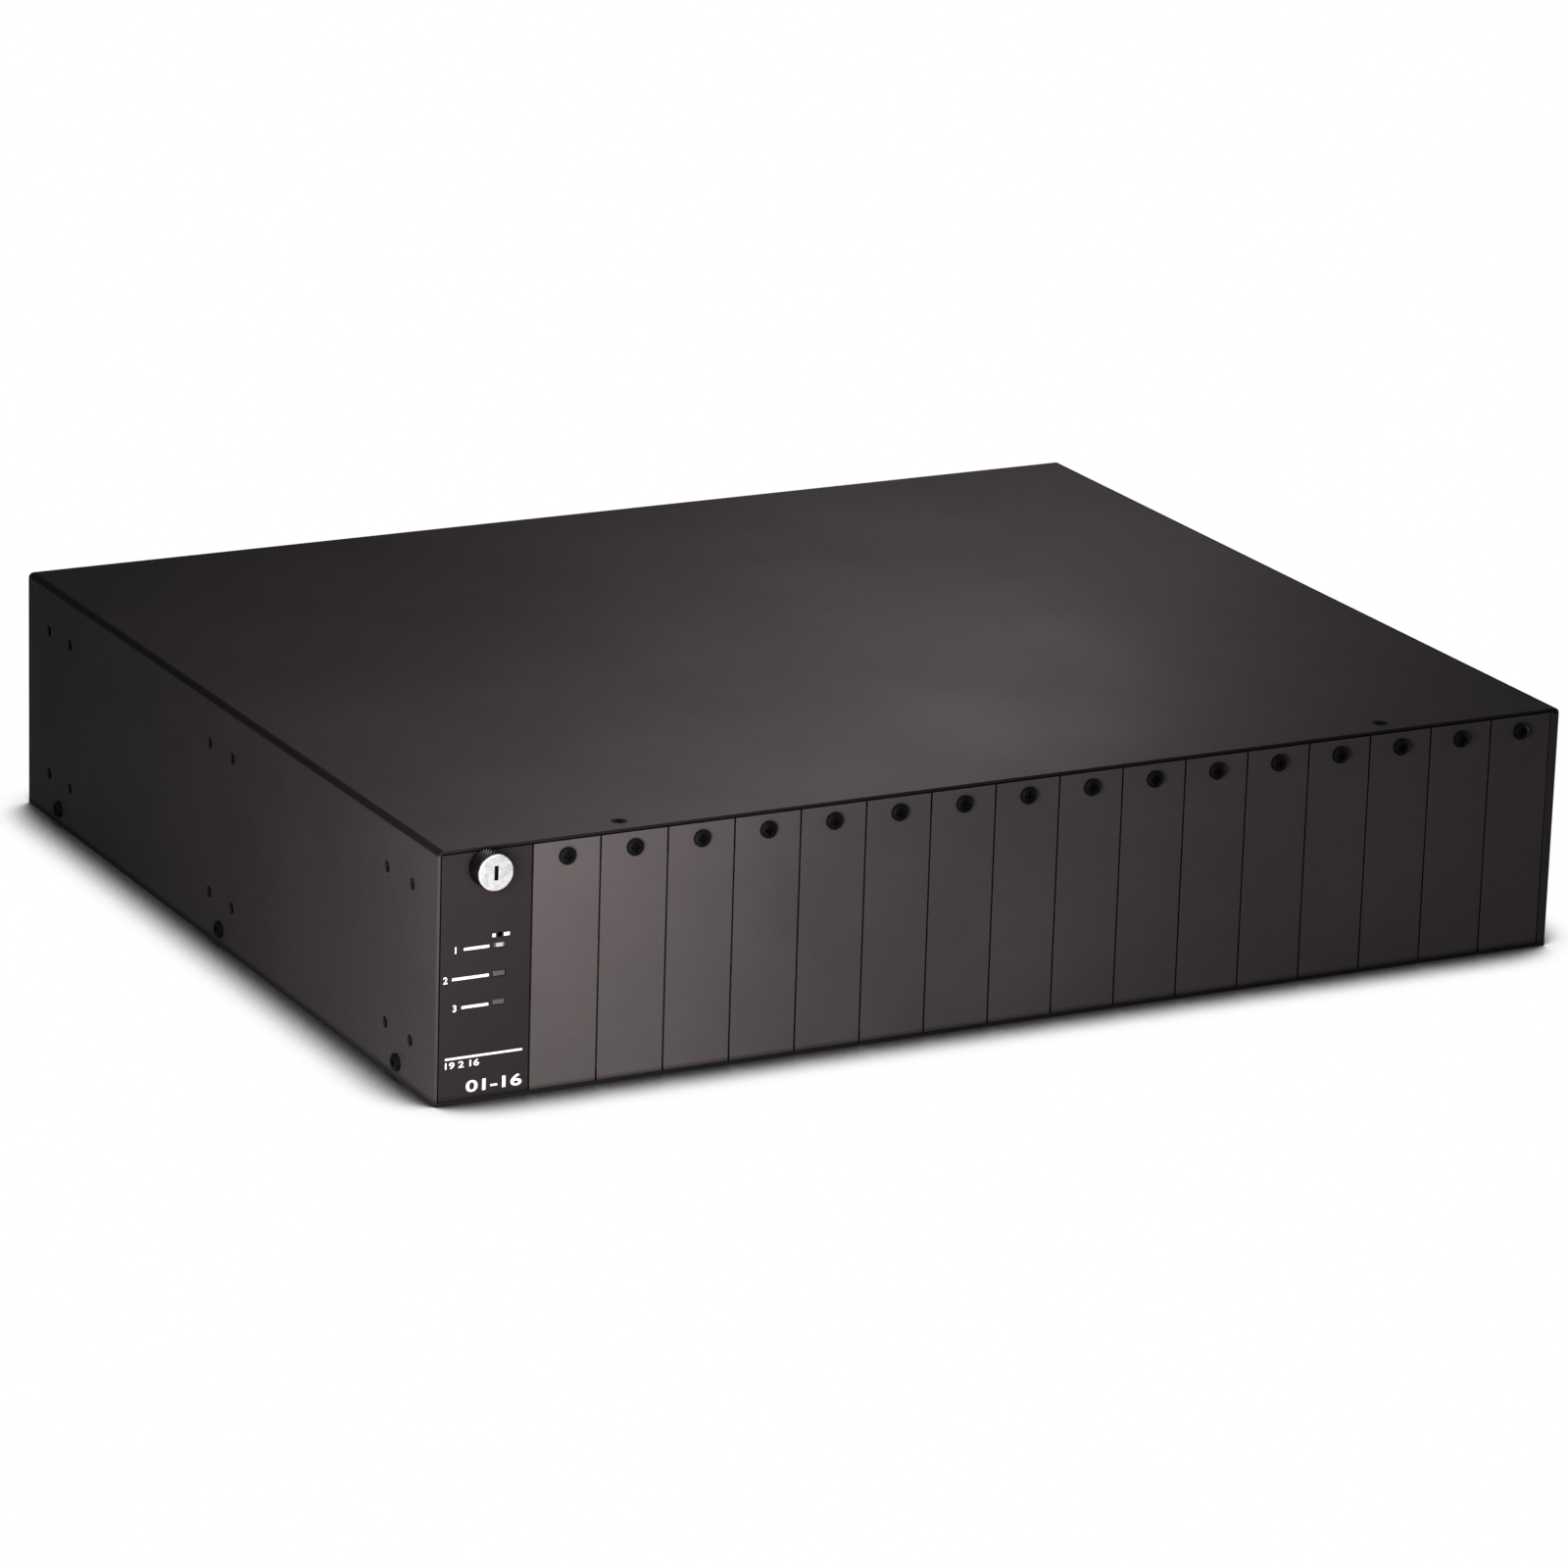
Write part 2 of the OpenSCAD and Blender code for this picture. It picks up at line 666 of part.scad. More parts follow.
module bay_face(x) {
    difference() {
        block([x - face_w / 2, face_lo, case_lo], [x + face_w / 2, face_hi, face_top]);
        for (knob = [-1, 1]) rod_y(x + knob * knob_x, knob_z, m3_r + thread_gap, face_lo - over, face_hi + over);
    }
}

function grille_place(i) = (i - (grille_count - 1) / 2) * grille_pitch;

module power_case() color(steel_grey) difference() {
    union() {
        bay_face(power_x);
        block([power_x - case_w / 2, case_front, case_lo], [power_x + case_w / 2, face_lo, case_hi]);
    }
    block(
        [power_x - case_w / 2 + case_t, case_front + case_t, case_lo + case_t],
        [power_x + case_w / 2 - case_t, face_lo, case_hi - case_t]
    );
    block(
        [inlet_x - inlet_body_w / 2, face_lo - over, inlet_z - inlet_body_h / 2],
        [inlet_x + inlet_body_w / 2, face_hi + over, inlet_z + inlet_body_h / 2]
    );
    for (i = [0 : grille_count - 1]) block(
        [power_x - grille_off + grille_place(i) - grille_w / 2, face_lo - over, inlet_z - inlet_h / 2],
        [power_x - grille_off + grille_place(i) + grille_w / 2, face_hi + over, inlet_z + inlet_h / 2]
    );
}

module power_board() color(green) {
    block(
        [power_x - case_w / 2 + board_margin, case_front + board_margin, case_lo + power_board_rise],
        [power_x + case_w / 2 - board_margin, face_lo - inlet_depth - board_margin, case_lo + power_board_rise + power_board_t]
    );
    translate([power_x, (case_front + face_lo) / 2, case_lo + power_board_rise + power_board_t]) power_parts();
}

// Transformer, heat sinks and capacitors on the power board
module power_parts() {
    block([-coil_w / 2, -coil_w / 2, 0], [coil_w / 2, coil_w / 2, coil_h]);
    for (side = [-1, 1]) {
        block([side * sink_x - sink_t / 2, -sink_l / 2, 0], [side * sink_x + sink_t / 2, sink_l / 2, sink_h]);
        translate([side * can_x, -can_y, 0]) cylinder(r = can_r, h = can_h);
    }
}

module power_inlet() color(black) {
    difference() {
        union() {
            block(
                [inlet_x - inlet_w / 2, face_hi, inlet_z - inlet_h / 2],
                [inlet_x + inlet_w / 2, bezel_y, inlet_z + inlet_h / 2]
            );
            block(
                [inlet_x - inlet_body_w / 2, bezel_y - inlet_depth, inlet_z - inlet_body_h / 2],
                [inlet_x + inlet_body_w / 2, face_hi, inlet_z + inlet_body_h / 2]
            );
        }
        block(
            [recess_x - mains_w / 2, bezel_y - mains_d, inlet_z - mains_h / 2],
            [recess_x + mains_w / 2, bezel_y + over, inlet_z + mains_h / 2]
        );
        block(
            [well_x - well_w / 2, bezel_y - well_d, inlet_z - well_h / 2],
            [well_x + well_w / 2, bezel_y + over, inlet_z + well_h / 2]
        );
    }
    for (place = [[-pin_pitch / 2, -earth_up], [0, earth_up], [pin_pitch / 2, -earth_up]]) block(
        [recess_x + place[0] - pin_w / 2, bezel_y - mains_d, inlet_z + place[1] - pin_h / 2],
        [recess_x + place[0] + pin_w / 2, bezel_y - mains_d + pin_l, inlet_z + place[1] + pin_h / 2]
    );
}

// Rocker tilted to its off side about a cross axis
module power_switch() color(black) translate([well_x, bezel_y - pivot_in, inlet_z]) rotate([-rocker_tilt, 0, 0])
    translate([-well_w / 2 + rocker_gap, 0, 0]) rotate([90, 0, 90])
        linear_extrude(well_w - 2 * rocker_gap) polygon([
            [-rocker_drop, 0], [0, -rocker_half], [rocker_rise, -rocker_half],
            [rocker_rise - rocker_dip, 0], [rocker_rise, rocker_half], [0, rocker_half]
        ]);

module power_handle() color(zinc) translate([power_x, face_hi, handle_z]) rotate([-90, 0, 0]) {
    for (side = [0, 1]) mirror([side, 0, 0]) {
        translate([handle_w / 2, 0, 0]) cylinder(r = handle_r, h = handle_reach - handle_bend);
        translate([handle_w / 2 - handle_bend, 0, handle_reach - handle_bend]) rotate([90, 0, 0])
            rotate_extrude(angle = 90) translate([handle_bend, 0]) circle(r = handle_r);
    }
    translate([0, 0, handle_reach]) rotate([0, 90, 0])
        cylinder(r = handle_r, h = handle_w - 2 * handle_bend, center = true);
}

module bay_knobs(x) {
    for (knob = [-1, 1]) translate([x + knob * knob_x, face_hi + head_gap, knob_z]) rotate([-90, 0, 0]) {
        thumb_head(knob_r, knob_l, knob_recess);
        translate([0, 0, -m3_l]) cylinder(r = m3_r, h = m3_l);
    }
}

module power_screws() color(zinc) bay_knobs(power_x);

module power_plug() color(black) {
    block(
        [power_x - plug_flange_w / 2, case_front - plug_flange_t, socket_z - plug_flange_h / 2],
        [power_x + plug_flange_w / 2, case_front, socket_z + plug_flange_h / 2]
    );
    for (i = [-1 : 1]) block(
        [power_x + i * blade_pitch - blade_w / 2, case_front - plug_flange_t - blade_l, socket_z - blade_h / 2],
        [power_x + i * blade_pitch + blade_w / 2, case_front - plug_flange_t, socket_z + blade_h / 2]
    );
}

module blank_bay_plate() color(steel_grey) bay_face(-power_x);

module blank_bay_screws() color(zinc) bay_knobs(-power_x);

base_tray();
top_cover();
rear_panel();
case_screws();
front_rail();
card_guides();
backplane_board();
backplane_bracket();
dc_plugs();
power_sockets();
control_plate();
control_board();
status_lights();
reset_button();
control_thumbscrew();
fan_frames();
fan_screws();
fan_rotor(-1);  // fan_rotor_left
fan_rotor(1);  // fan_rotor_right
power_case();
power_board();
power_inlet();
power_switch();
power_handle();
power_screws();
power_plug();
blank_bay_plate();
blank_bay_screws();
for (i = [0 : bay_count - 1]) slot_cover(i);
for (i = [0 : bay_count - 1]) slot_cover_screw(i);
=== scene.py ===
import math

import bmesh
import bpy
from mathutils import Matrix, Vector


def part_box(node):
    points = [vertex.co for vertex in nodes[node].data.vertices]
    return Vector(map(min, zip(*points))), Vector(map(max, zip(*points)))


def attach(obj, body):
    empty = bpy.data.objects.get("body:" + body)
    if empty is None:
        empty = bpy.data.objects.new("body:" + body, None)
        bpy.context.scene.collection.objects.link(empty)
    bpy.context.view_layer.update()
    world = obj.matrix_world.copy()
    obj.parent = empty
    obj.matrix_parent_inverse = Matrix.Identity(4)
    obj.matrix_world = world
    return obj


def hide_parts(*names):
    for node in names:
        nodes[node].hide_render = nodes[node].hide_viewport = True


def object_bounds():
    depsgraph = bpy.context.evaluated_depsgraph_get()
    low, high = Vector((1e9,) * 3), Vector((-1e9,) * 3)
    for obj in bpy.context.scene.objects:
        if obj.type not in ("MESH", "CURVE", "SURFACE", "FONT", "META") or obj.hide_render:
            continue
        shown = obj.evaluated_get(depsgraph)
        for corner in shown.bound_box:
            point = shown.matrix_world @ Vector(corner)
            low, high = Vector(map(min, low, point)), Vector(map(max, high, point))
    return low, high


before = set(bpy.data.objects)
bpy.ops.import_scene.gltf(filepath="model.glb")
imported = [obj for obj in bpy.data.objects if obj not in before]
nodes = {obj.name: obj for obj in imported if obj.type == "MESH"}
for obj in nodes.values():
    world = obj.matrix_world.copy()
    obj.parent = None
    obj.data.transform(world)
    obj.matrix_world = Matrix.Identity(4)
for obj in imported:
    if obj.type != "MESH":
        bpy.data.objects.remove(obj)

MM = 0.001
cad_low, cad_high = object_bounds()
scene = bpy.context.scene
scene.view_settings.view_transform = "Standard"

# Camera, from the seven corners of the case that the photograph shows
CAMERA_PLACE = Vector((-1184.11, -2238.08, 830.11)) * MM
HEADING, PITCH, ROLL = math.radians(27.965), math.radians(17.458), math.radians(1.775)
FOCAL_LENGTH, SENSOR = 167.159, 36.0
NEAREST, FARTHEST = 0.05, 50


def make_camera():
    data = bpy.data.cameras.new("camera")
    data.lens, data.sensor_width = FOCAL_LENGTH, SENSOR
    data.clip_start, data.clip_end = NEAREST, FARTHEST
    camera = bpy.data.objects.new("camera", data)
    scene.collection.objects.link(camera)
    turn = Matrix.Rotation(-HEADING, 4, "Z") @ Matrix.Rotation(math.pi / 2 - PITCH, 4, "X")
    camera.matrix_world = Matrix.Translation(CAMERA_PLACE) @ turn @ Matrix.Rotation(ROLL, 4, "Z")
    scene.camera = camera


# Shader building blocks
def add(tree, kind, place, **values):
    node = tree.nodes.new(kind)
    node.location = place
    for name, value in values.items():
        setattr(node, name, value)
    return node


def feed(tree, value, socket):
    """Set a socket to a number, or link another socket to it."""
    if isinstance(value, (int, float)):
        socket.default_value = value
    else:
        tree.links.new(value, socket)


def new_group(name, inputs, outputs):
    tree = bpy.data.node_groups.new(name, "ShaderNodeTree")
    for label, kind, value in inputs:
        socket = tree.interface.new_socket(label, in_out="INPUT", socket_type=kind)
        socket.default_value = value
    for label, kind in outputs:
        tree.interface.new_socket(label, in_out="OUTPUT", socket_type=kind)
    return tree, add(tree, "NodeGroupInput", (-900, 0)), add(tree, "NodeGroupOutput", (700, 0))


def math_node(tree, operation, place, a, b=None):
    node = add(tree, "ShaderNodeMath", place, operation=operation)
    feed(tree, a, node.inputs[0])
    if b is not None:
        feed(tree, b, node.inputs[1])
    return node.outputs[0]


def noise(tree, place, vector, scale, detail, roughness=0.5):
    node = add(tree, "ShaderNodeTexNoise", place)
    node.inputs["Detail"].default_value = detail
    node.inputs["Roughness"].default_value = roughness
    tree.links.new(vector, node.inputs["Vector"])
    feed(tree, scale, node.inputs["Scale"])
    return node.outputs["Fac"]


def ramp(tree, place, value, low, high, to_low=0.0, to_high=1.0):
    node = add(tree, "ShaderNodeMapRange", place)
    for name, number in (("From Min", low), ("From Max", high), ("To Min", to_low), ("To Max", to_high)):
        node.inputs[name].default_value = number
    tree.links.new(value, node.inputs["Value"])
    return node.outputs["Result"]


def object_place(tree, place):
    return add(tree, "ShaderNodeTexCoord", place).outputs["Object"]


# Powder coat: the coarse pebbles' scale and height are shares of the fine ones'
COARSE_SCALE, COARSE_HEIGHT = 0.37, 0.6
SPECKLE_RANGE, SMUDGE_RANGE = (0.3, 0.7), (0.3, 0.75)


def make_powder_group():
    """Fine powder coat: pebbled height, a speckle of tone and slow smudges, all on object coordinates."""
    tree, start, end = new_group(
        "powder_coat",
        [("Pebble Scale", "NodeSocketFloat", 1400.0), ("Smudge Scale", "NodeSocketFloat", 9.0)],
        [("Height", "NodeSocketFloat"), ("Speckle", "NodeSocketFloat"), ("Smudge", "NodeSocketFloat")],
    )
    place = object_place(tree, (-900, 250))
    pebble = noise(tree, (-500, 200), place, start.outputs["Pebble Scale"], detail=2.0)
    coarse_scale = math_node(tree, "MULTIPLY", (-700, -100), start.outputs["Pebble Scale"], COARSE_SCALE)
    coarse = noise(tree, (-500, 0), place, coarse_scale, detail=1.0)
    smudge = noise(tree, (-500, -250), place, start.outputs["Smudge Scale"], detail=4.0, roughness=0.6)
    coarse_height = math_node(tree, "MULTIPLY", (-300, 50), coarse, COARSE_HEIGHT)
    height = math_node(tree, "ADD", (-100, 150), pebble, coarse_height)
    tree.links.new(height, end.inputs["Height"])
    tree.links.new(ramp(tree, (100, 0), pebble, *SPECKLE_RANGE), end.inputs["Speckle"])
    tree.links.new(ramp(tree, (100, -250), smudge, *SMUDGE_RANGE), end.inputs["Smudge"])
    return tree


# Worn edges: how far the rounded normal has turned, and where noise breaks the wear up
EDGE_TURN, EDGE_BREAKS = (0.995, 0.86), (0.42, 0.68)
# Painted shade in seams and holes: how far it reaches, and the openness at which it starts and is full
CREVICE_REACH, CREVICE_OPEN = 0.005, (0.62, 0.4)


def make_edge_group():
    """Rounded normal, a worn edge mask broken up by noise, and a mask of painted shade in seams and holes."""
    tree, start, end = new_group(
        "worn_edge_and_crevice_shade",
        [("Radius", "NodeSocketFloat", 0.0004), ("Break Up", "NodeSocketFloat", 260.0)],
        [("Normal", "NodeSocketVector"), ("Edge", "NodeSocketFloat"), ("Crevice Shade", "NodeSocketFloat")],
    )
    bevel = add(tree, "ShaderNodeBevel", (-600, 150), samples=4)
    tree.links.new(start.outputs["Radius"], bevel.inputs["Radius"])
    plain = add(tree, "ShaderNodeNewGeometry", (-600, -50))
    dot = add(tree, "ShaderNodeVectorMath", (-400, 50), operation="DOT_PRODUCT")
    tree.links.new(bevel.outputs["Normal"], dot.inputs[0])
    tree.links.new(plain.outputs["True Normal"], dot.inputs[1])
    place = object_place(tree, (-900, -250))
    broken = noise(tree, (-600, -250), place, start.outputs["Break Up"], detail=3.0, roughness=0.7)
    edge = ramp(tree, (-200, 50), dot.outputs["Value"], *EDGE_TURN)
    edge = math_node(tree, "MULTIPLY", (100, 0), edge, ramp(tree, (-200, -250), broken, *EDGE_BREAKS))
    tree.links.new(edge, end.inputs["Edge"])
    hollow = add(tree, "ShaderNodeAmbientOcclusion", (-600, -500), samples=6)
    hollow.inputs["Distance"].default_value = CREVICE_REACH
    tree.links.new(ramp(tree, (-200, -500), hollow.outputs["AO"], *CREVICE_OPEN), end.inputs["Crevice Shade"])
    tree.links.new(bevel.outputs["Normal"], end.inputs["Normal"])
    return tree


def make_drawn_group():
    """Turned or drawn metal: fine lines stretched along one axis, and a stain."""
    tree, start, end = new_group(
        "drawn_metal",
        [("Stretch", "NodeSocketVector", (2600.0, 90.0, 2600.0))],
        [("Lines", "NodeSocketFloat"), ("Stain", "NodeSocketFloat")],
    )
    place = object_place(tree, (-900, 250))
    scaled = add(tree, "ShaderNodeVectorMath", (-700, 150), operation="MULTIPLY")
    tree.links.new(place, scaled.inputs[0])
    tree.links.new(start.outputs["Stretch"], scaled.inputs[1])
    lines = noise(tree, (-400, 150), scaled.outputs[0], scale=1.0, detail=2.0)
    stain = noise(tree, (-400, -100), place, scale=60.0, detail=3.0)
    tree.links.new(lines, end.inputs["Lines"])
    tree.links.new(stain, end.inputs["Stain"])
    return tree


POWDER = make_powder_group()
EDGE = make_edge_group()
DRAWN = make_drawn_group()


def new_material(name):
    material = bpy.data.materials.new(name)
    material.use_nodes = True
    tree = material.node_tree
    tree.nodes.clear()
    shader = add(tree, "ShaderNodeBsdfPrincipled", (500, 0))
    output = add(tree, "ShaderNodeOutputMaterial", (800, 0))
    tree.links.new(shader.outputs[0], output.inputs[0])
    return material, tree, shader


def use_group(tree, group, place, **values):
    node = add(tree, "ShaderNodeGroup", place)
    node.node_tree = group
    for name, value in values.items():
        node.inputs[name.replace("_", " ")].default_value = value
    return node


def colour_mix(tree, place, factor, a, b):
    """Colours a and b mixed by a factor; each may be a colour or a socket."""
    node = add(tree, "ShaderNodeMix", place, data_type="RGBA")
    tree.links.new(factor, node.inputs[0])
    for name, value in (("A", a), ("B", b)):
        socket = [s for s in node.inputs if s.name == name and s.type == "RGBA"][0]
        if isinstance(value, tuple):
            socket.default_value = (*value, 1.0)
        else:
            tree.links.new(value, socket)
    return [s for s in node.outputs if s.type == "RGBA"][0]


def toned(colour, share, lift=0.0):
    return tuple(min(1, part * share + lift) for part in colour)


def add_bump(tree, shader, height, strength, depth, normal=None):
    bump = add(tree, "ShaderNodeBump", (200, -250))
    bump.inputs["Strength"].default_value = strength
    bump.inputs["Distance"].default_value = depth
    tree.links.new(height, bump.inputs["Height"])
    if normal is not None:
        tree.links.new(normal, bump.inputs["Normal"])
    tree.links.new(bump.outputs["Normal"], shader.inputs["Normal"])


# Tones are shares of a finish's own colour
PAINT_GLOSS = 0.08
SMUDGE_DARK, SMUDGE_LIGHT = 0.78, 1.16
GRAIN_TONE, GRAIN_AMOUNT = 1.9, 0.22
# The fold and seam tones are painted shade
FOLD_SHADE, SEAM_SHADE, METAL_SEAM_SHADE = 0.22, 0.12, 0.3
STAIN_DARK, MOULDED_DARK, INK_DARK = 0.86, 0.85, 0.88
# The shine tone is a painted highlight on the edges
SHINE_TONE, SHINE_AMOUNT = 1.6, 0.35
# How far a finish's roughness strays from its own value
PAINT_SPREAD, MOULDED_SPREAD, LINES_SMOOTHER, LINES_ROUGHER = 0.05, 0.06, 0.06, 0.09

# Where painted shade darkens the case's sheet: places in metres, and how its surface faces
LIP_HEIGHT, LIP_FADE = 0.0876, 0.0002
BAND_PLACE, FOOT_PLACE = (0.2163, 0.2169), (0.0030, 0.0008)
FOLD_FACING, FRONT_FACING, WALL_FACING = (0.1, 0.35), (-0.3, -0.7), (0.5, 0.2)


def fold_mask(tree):
    """Mask of painted shade on the long folds and their bands on the top, the top's front lip and the foot of
    the walls.
    """
    turn = add(tree, "ShaderNodeSeparateXYZ", (-900, 500))
    place = add(tree, "ShaderNodeSeparateXYZ", (-900, 800))
    tree.links.new(add(tree, "ShaderNodeTexCoord", (-1100, 500)).outputs["Normal"], turn.inputs[0])
    tree.links.new(object_place(tree, (-1100, 800)), place.inputs[0])
    side = math_node(tree, "ABSOLUTE", (-700, 550), turn.outputs["X"])
    up = math_node(tree, "ABSOLUTE", (-700, 450), turn.outputs["Z"])
    fold = ramp(tree, (-300, 500), math_node(tree, "MULTIPLY", (-500, 500), side, up), *FOLD_FACING)
    out = ramp(tree, (-500, 1000), math_node(tree, "ABSOLUTE", (-700, 1000), place.outputs["X"]), *BAND_PLACE)
    high = ramp(tree, (-500, 850), place.outputs["Z"], LIP_HEIGHT - LIP_FADE, LIP_HEIGHT)
    front = ramp(tree, (-500, 700), turn.outputs["Y"], *FRONT_FACING)
    rim = math_node(tree, "MULTIPLY", (-100, 800), high, math_node(tree, "MAXIMUM", (-300, 900), out, front))
    upright = ramp(tree, (-500, 350), up, *WALL_FACING)
    foot = ramp(tree, (-500, 200), place.outputs["Z"], *FOOT_PLACE)
    wall = math_node(tree, "MULTIPLY", (-300, 300), upright, foot)
    return math_node(tree, "MAXIMUM", (300, 600), fold, math_node(tree, "MAXIMUM", (100, 600), rim, wall))


def painted(name, colour, worn, rough, pebble, depth, edge_radius, wear):
    """Powder-coated sheet: pebbled coat, smudges in tone and gloss, paint thinned along the edges."""
    material, tree, shader = new_material(name)
    coat = use_group(tree, POWDER, (-700, 150), Pebble_Scale=pebble)
    edge = use_group(tree, EDGE, (-700, -200), Radius=edge_radius)
    tone = colour_mix(
        tree, (-400, 300), coat.outputs["Smudge"], toned(colour, SMUDGE_DARK), toned(colour, SMUDGE_LIGHT)
    )
    grain = math_node(tree, "MULTIPLY", (-400, 100), coat.outputs["Speckle"], GRAIN_AMOUNT)
    tone = colour_mix(tree, (-150, 250), grain, tone, toned(colour, GRAIN_TONE))
    rubbed = math_node(tree, "MULTIPLY", (-400, -150), edge.outputs["Edge"], wear)
    tone = colour_mix(tree, (100, 250), rubbed, tone, worn)
    # Painted shade along the folds, the top's front lip and the foot of the walls
    tone = colour_mix(tree, (250, 250), fold_mask(tree), tone, toned(colour, FOLD_SHADE))
    # Painted shade in seams and holes
    tone = colour_mix(tree, (350, 250), edge.outputs["Crevice Shade"], tone, toned(colour, SEAM_SHADE))
    tree.links.new(tone, shader.inputs["Base Color"])
    gloss = ramp(tree, (100, 0), coat.outputs["Smudge"], 0.0, 1.0, rough + PAINT_SPREAD, rough - PAINT_SPREAD)
    tree.links.new(gloss, shader.inputs["Roughness"])
    shader.inputs["Specular IOR Level"].default_value = PAINT_GLOSS
    add_bump(tree, shader, coat.outputs["Height"], strength=0.5, depth=depth, normal=edge.outputs["Normal"])
    return material


def metal(name, colour, rough, stretch, edge_radius=0.0002):
    """Bare or plated metal with fine drawn lines and a faint stain."""
    material, tree, shader = new_material(name)
    drawn = use_group(tree, DRAWN, (-700, 150), Stretch=stretch)
    edge = use_group(tree, EDGE, (-700, -200), Radius=edge_radius)
    stain = ramp(tree, (-450, 150), drawn.outputs["Stain"], 0.3, 0.7)
    tone = colour_mix(tree, (-150, 200), stain, toned(colour, STAIN_DARK), colour)
    # Painted shade in seams and holes
    tone = colour_mix(tree, (0, 200), edge.outputs["Crevice Shade"], tone, toned(colour, METAL_SEAM_SHADE))
    tree.links.new(tone, shader.inputs["Base Color"])
    shader.inputs["Metallic"].default_value = 1.0
    smooth, coarse = rough - LINES_SMOOTHER, rough + LINES_ROUGHER
    gloss = ramp(tree, (-150, 0), drawn.outputs["Lines"], 0.3, 0.7, smooth, coarse)
    tree.links.new(gloss, shader.inputs["Roughness"])
    add_bump(tree, shader, drawn.outputs["Lines"], strength=0.25, depth=0.00003, normal=edge.outputs["Normal"])
    return material


def plastic(name, colour, rough, pebble=2200.0, depth=0.00002, edge_radius=0.0003,
            gloss_level=0.4, shine_lift=0.01):
    """Moulded plastic or a thin dark finish: very fine spark texture and slightly uneven tone."""
    material, tree, shader = new_material(name)
    coat = use_group(tree, POWDER, (-700, 150), Pebble_Scale=pebble, Smudge_Scale=40.0)
    edge = use_group(tree, EDGE, (-700, -200), Radius=edge_radius)
    tone = colour_mix(tree, (-300, 300), coat.outputs["Smudge"], toned(colour, MOULDED_DARK), colour)
    # Painted highlight: the edges are lighter in colour
    shine = math_node(tree, "MULTIPLY", (-400, -150), edge.outputs["Edge"], SHINE_AMOUNT)
    tone = colour_mix(tree, (0, 250), shine, tone, toned(colour, SHINE_TONE, shine_lift))
    # Painted shade in seams and holes
    tone = colour_mix(tree, (200, 250), edge.outputs["Crevice Shade"], tone, toned(colour, SEAM_SHADE))
    tree.links.new(tone, shader.inputs["Base Color"])
    shader.inputs["Specular IOR Level"].default_value = gloss_level
    smooth, coarse = rough - MOULDED_SPREAD, rough + MOULDED_SPREAD
    gloss = ramp(tree, (0, 0), coat.outputs["Smudge"], 0.0, 1.0, coarse, smooth)
    tree.links.new(gloss, shader.inputs["Roughness"])
    add_bump(tree, shader, coat.outputs["Height"], strength=0.4, depth=depth, normal=edge.outputs["Normal"])
    return material


# Circuit board: cells of track, round pads, and where each one's edge lies in its cell
TRACK_SCALE, TRACK_EDGE = 140.0, (0.09, 0.05)
PAD_SCALE, PAD_EDGE = 230.0, (0.2, 0.14)
MASK_GREEN, TRACK_GREEN, PAD_TIN = (0.010, 0.085, 0.035), (0.020, 0.150, 0.060), (0.55, 0.56, 0.52)


def circuit(name):
    """Solder mask over copper tracks: cells of track with pads, green over brighter green."""
    material, tree, shader = new_material(name)
    place = object_place(tree, (-1000, 0))
    cells = add(tree, "ShaderNodeTexVoronoi", (-700, 200), feature="DISTANCE_TO_EDGE", distance="MANHATTAN")
    cells.inputs["Scale"].default_value = TRACK_SCALE
    tree.links.new(place, cells.inputs["Vector"])
    tracks = ramp(tree, (-450, 200), cells.outputs["Distance"], *TRACK_EDGE)
    pads = add(tree, "ShaderNodeTexVoronoi", (-700, -100), feature="F1")
    pads.inputs["Scale"].default_value = PAD_SCALE
    tree.links.new(place, pads.inputs["Vector"])
    dots = ramp(tree, (-450, -100), pads.outputs["Distance"], *PAD_EDGE)
    tone = colour_mix(tree, (-200, 200), tracks, MASK_GREEN, TRACK_GREEN)
    tone = colour_mix(tree, (50, 200), dots, tone, PAD_TIN)
    tree.links.new(tone, shader.inputs["Base Color"])
    tree.links.new(ramp(tree, (50, 0), dots, 0.0, 1.0, 0.38, 0.25), shader.inputs["Roughness"])
    tree.links.new(math_node(tree, "MULTIPLY", (50, -150), dots, 0.9), shader.inputs["Metallic"])
    raised = math_node(tree, "ADD", (0, -300), tracks, dots)
    add_bump(tree, shader, raised, strength=1.0, depth=0.00005)
    return material


def ink(name, colour):
    """Screen-printed ink, very slightly uneven."""
    material, tree, shader = new_material(name)
    coat = use_group(tree, POWDER, (-700, 150), Pebble_Scale=3000.0, Smudge_Scale=300.0)
    tone = colour_mix(tree, (-100, 200), coat.outputs["Smudge"], toned(colour, INK_DARK), colour)
    tree.links.new(tone, shader.inputs["Base Color"])
    tree.links.new(ramp(tree, (-100, 0), coat.outputs["Speckle"], 0, 1, 0.5, 0.62), shader.inputs["Roughness"])
    return material


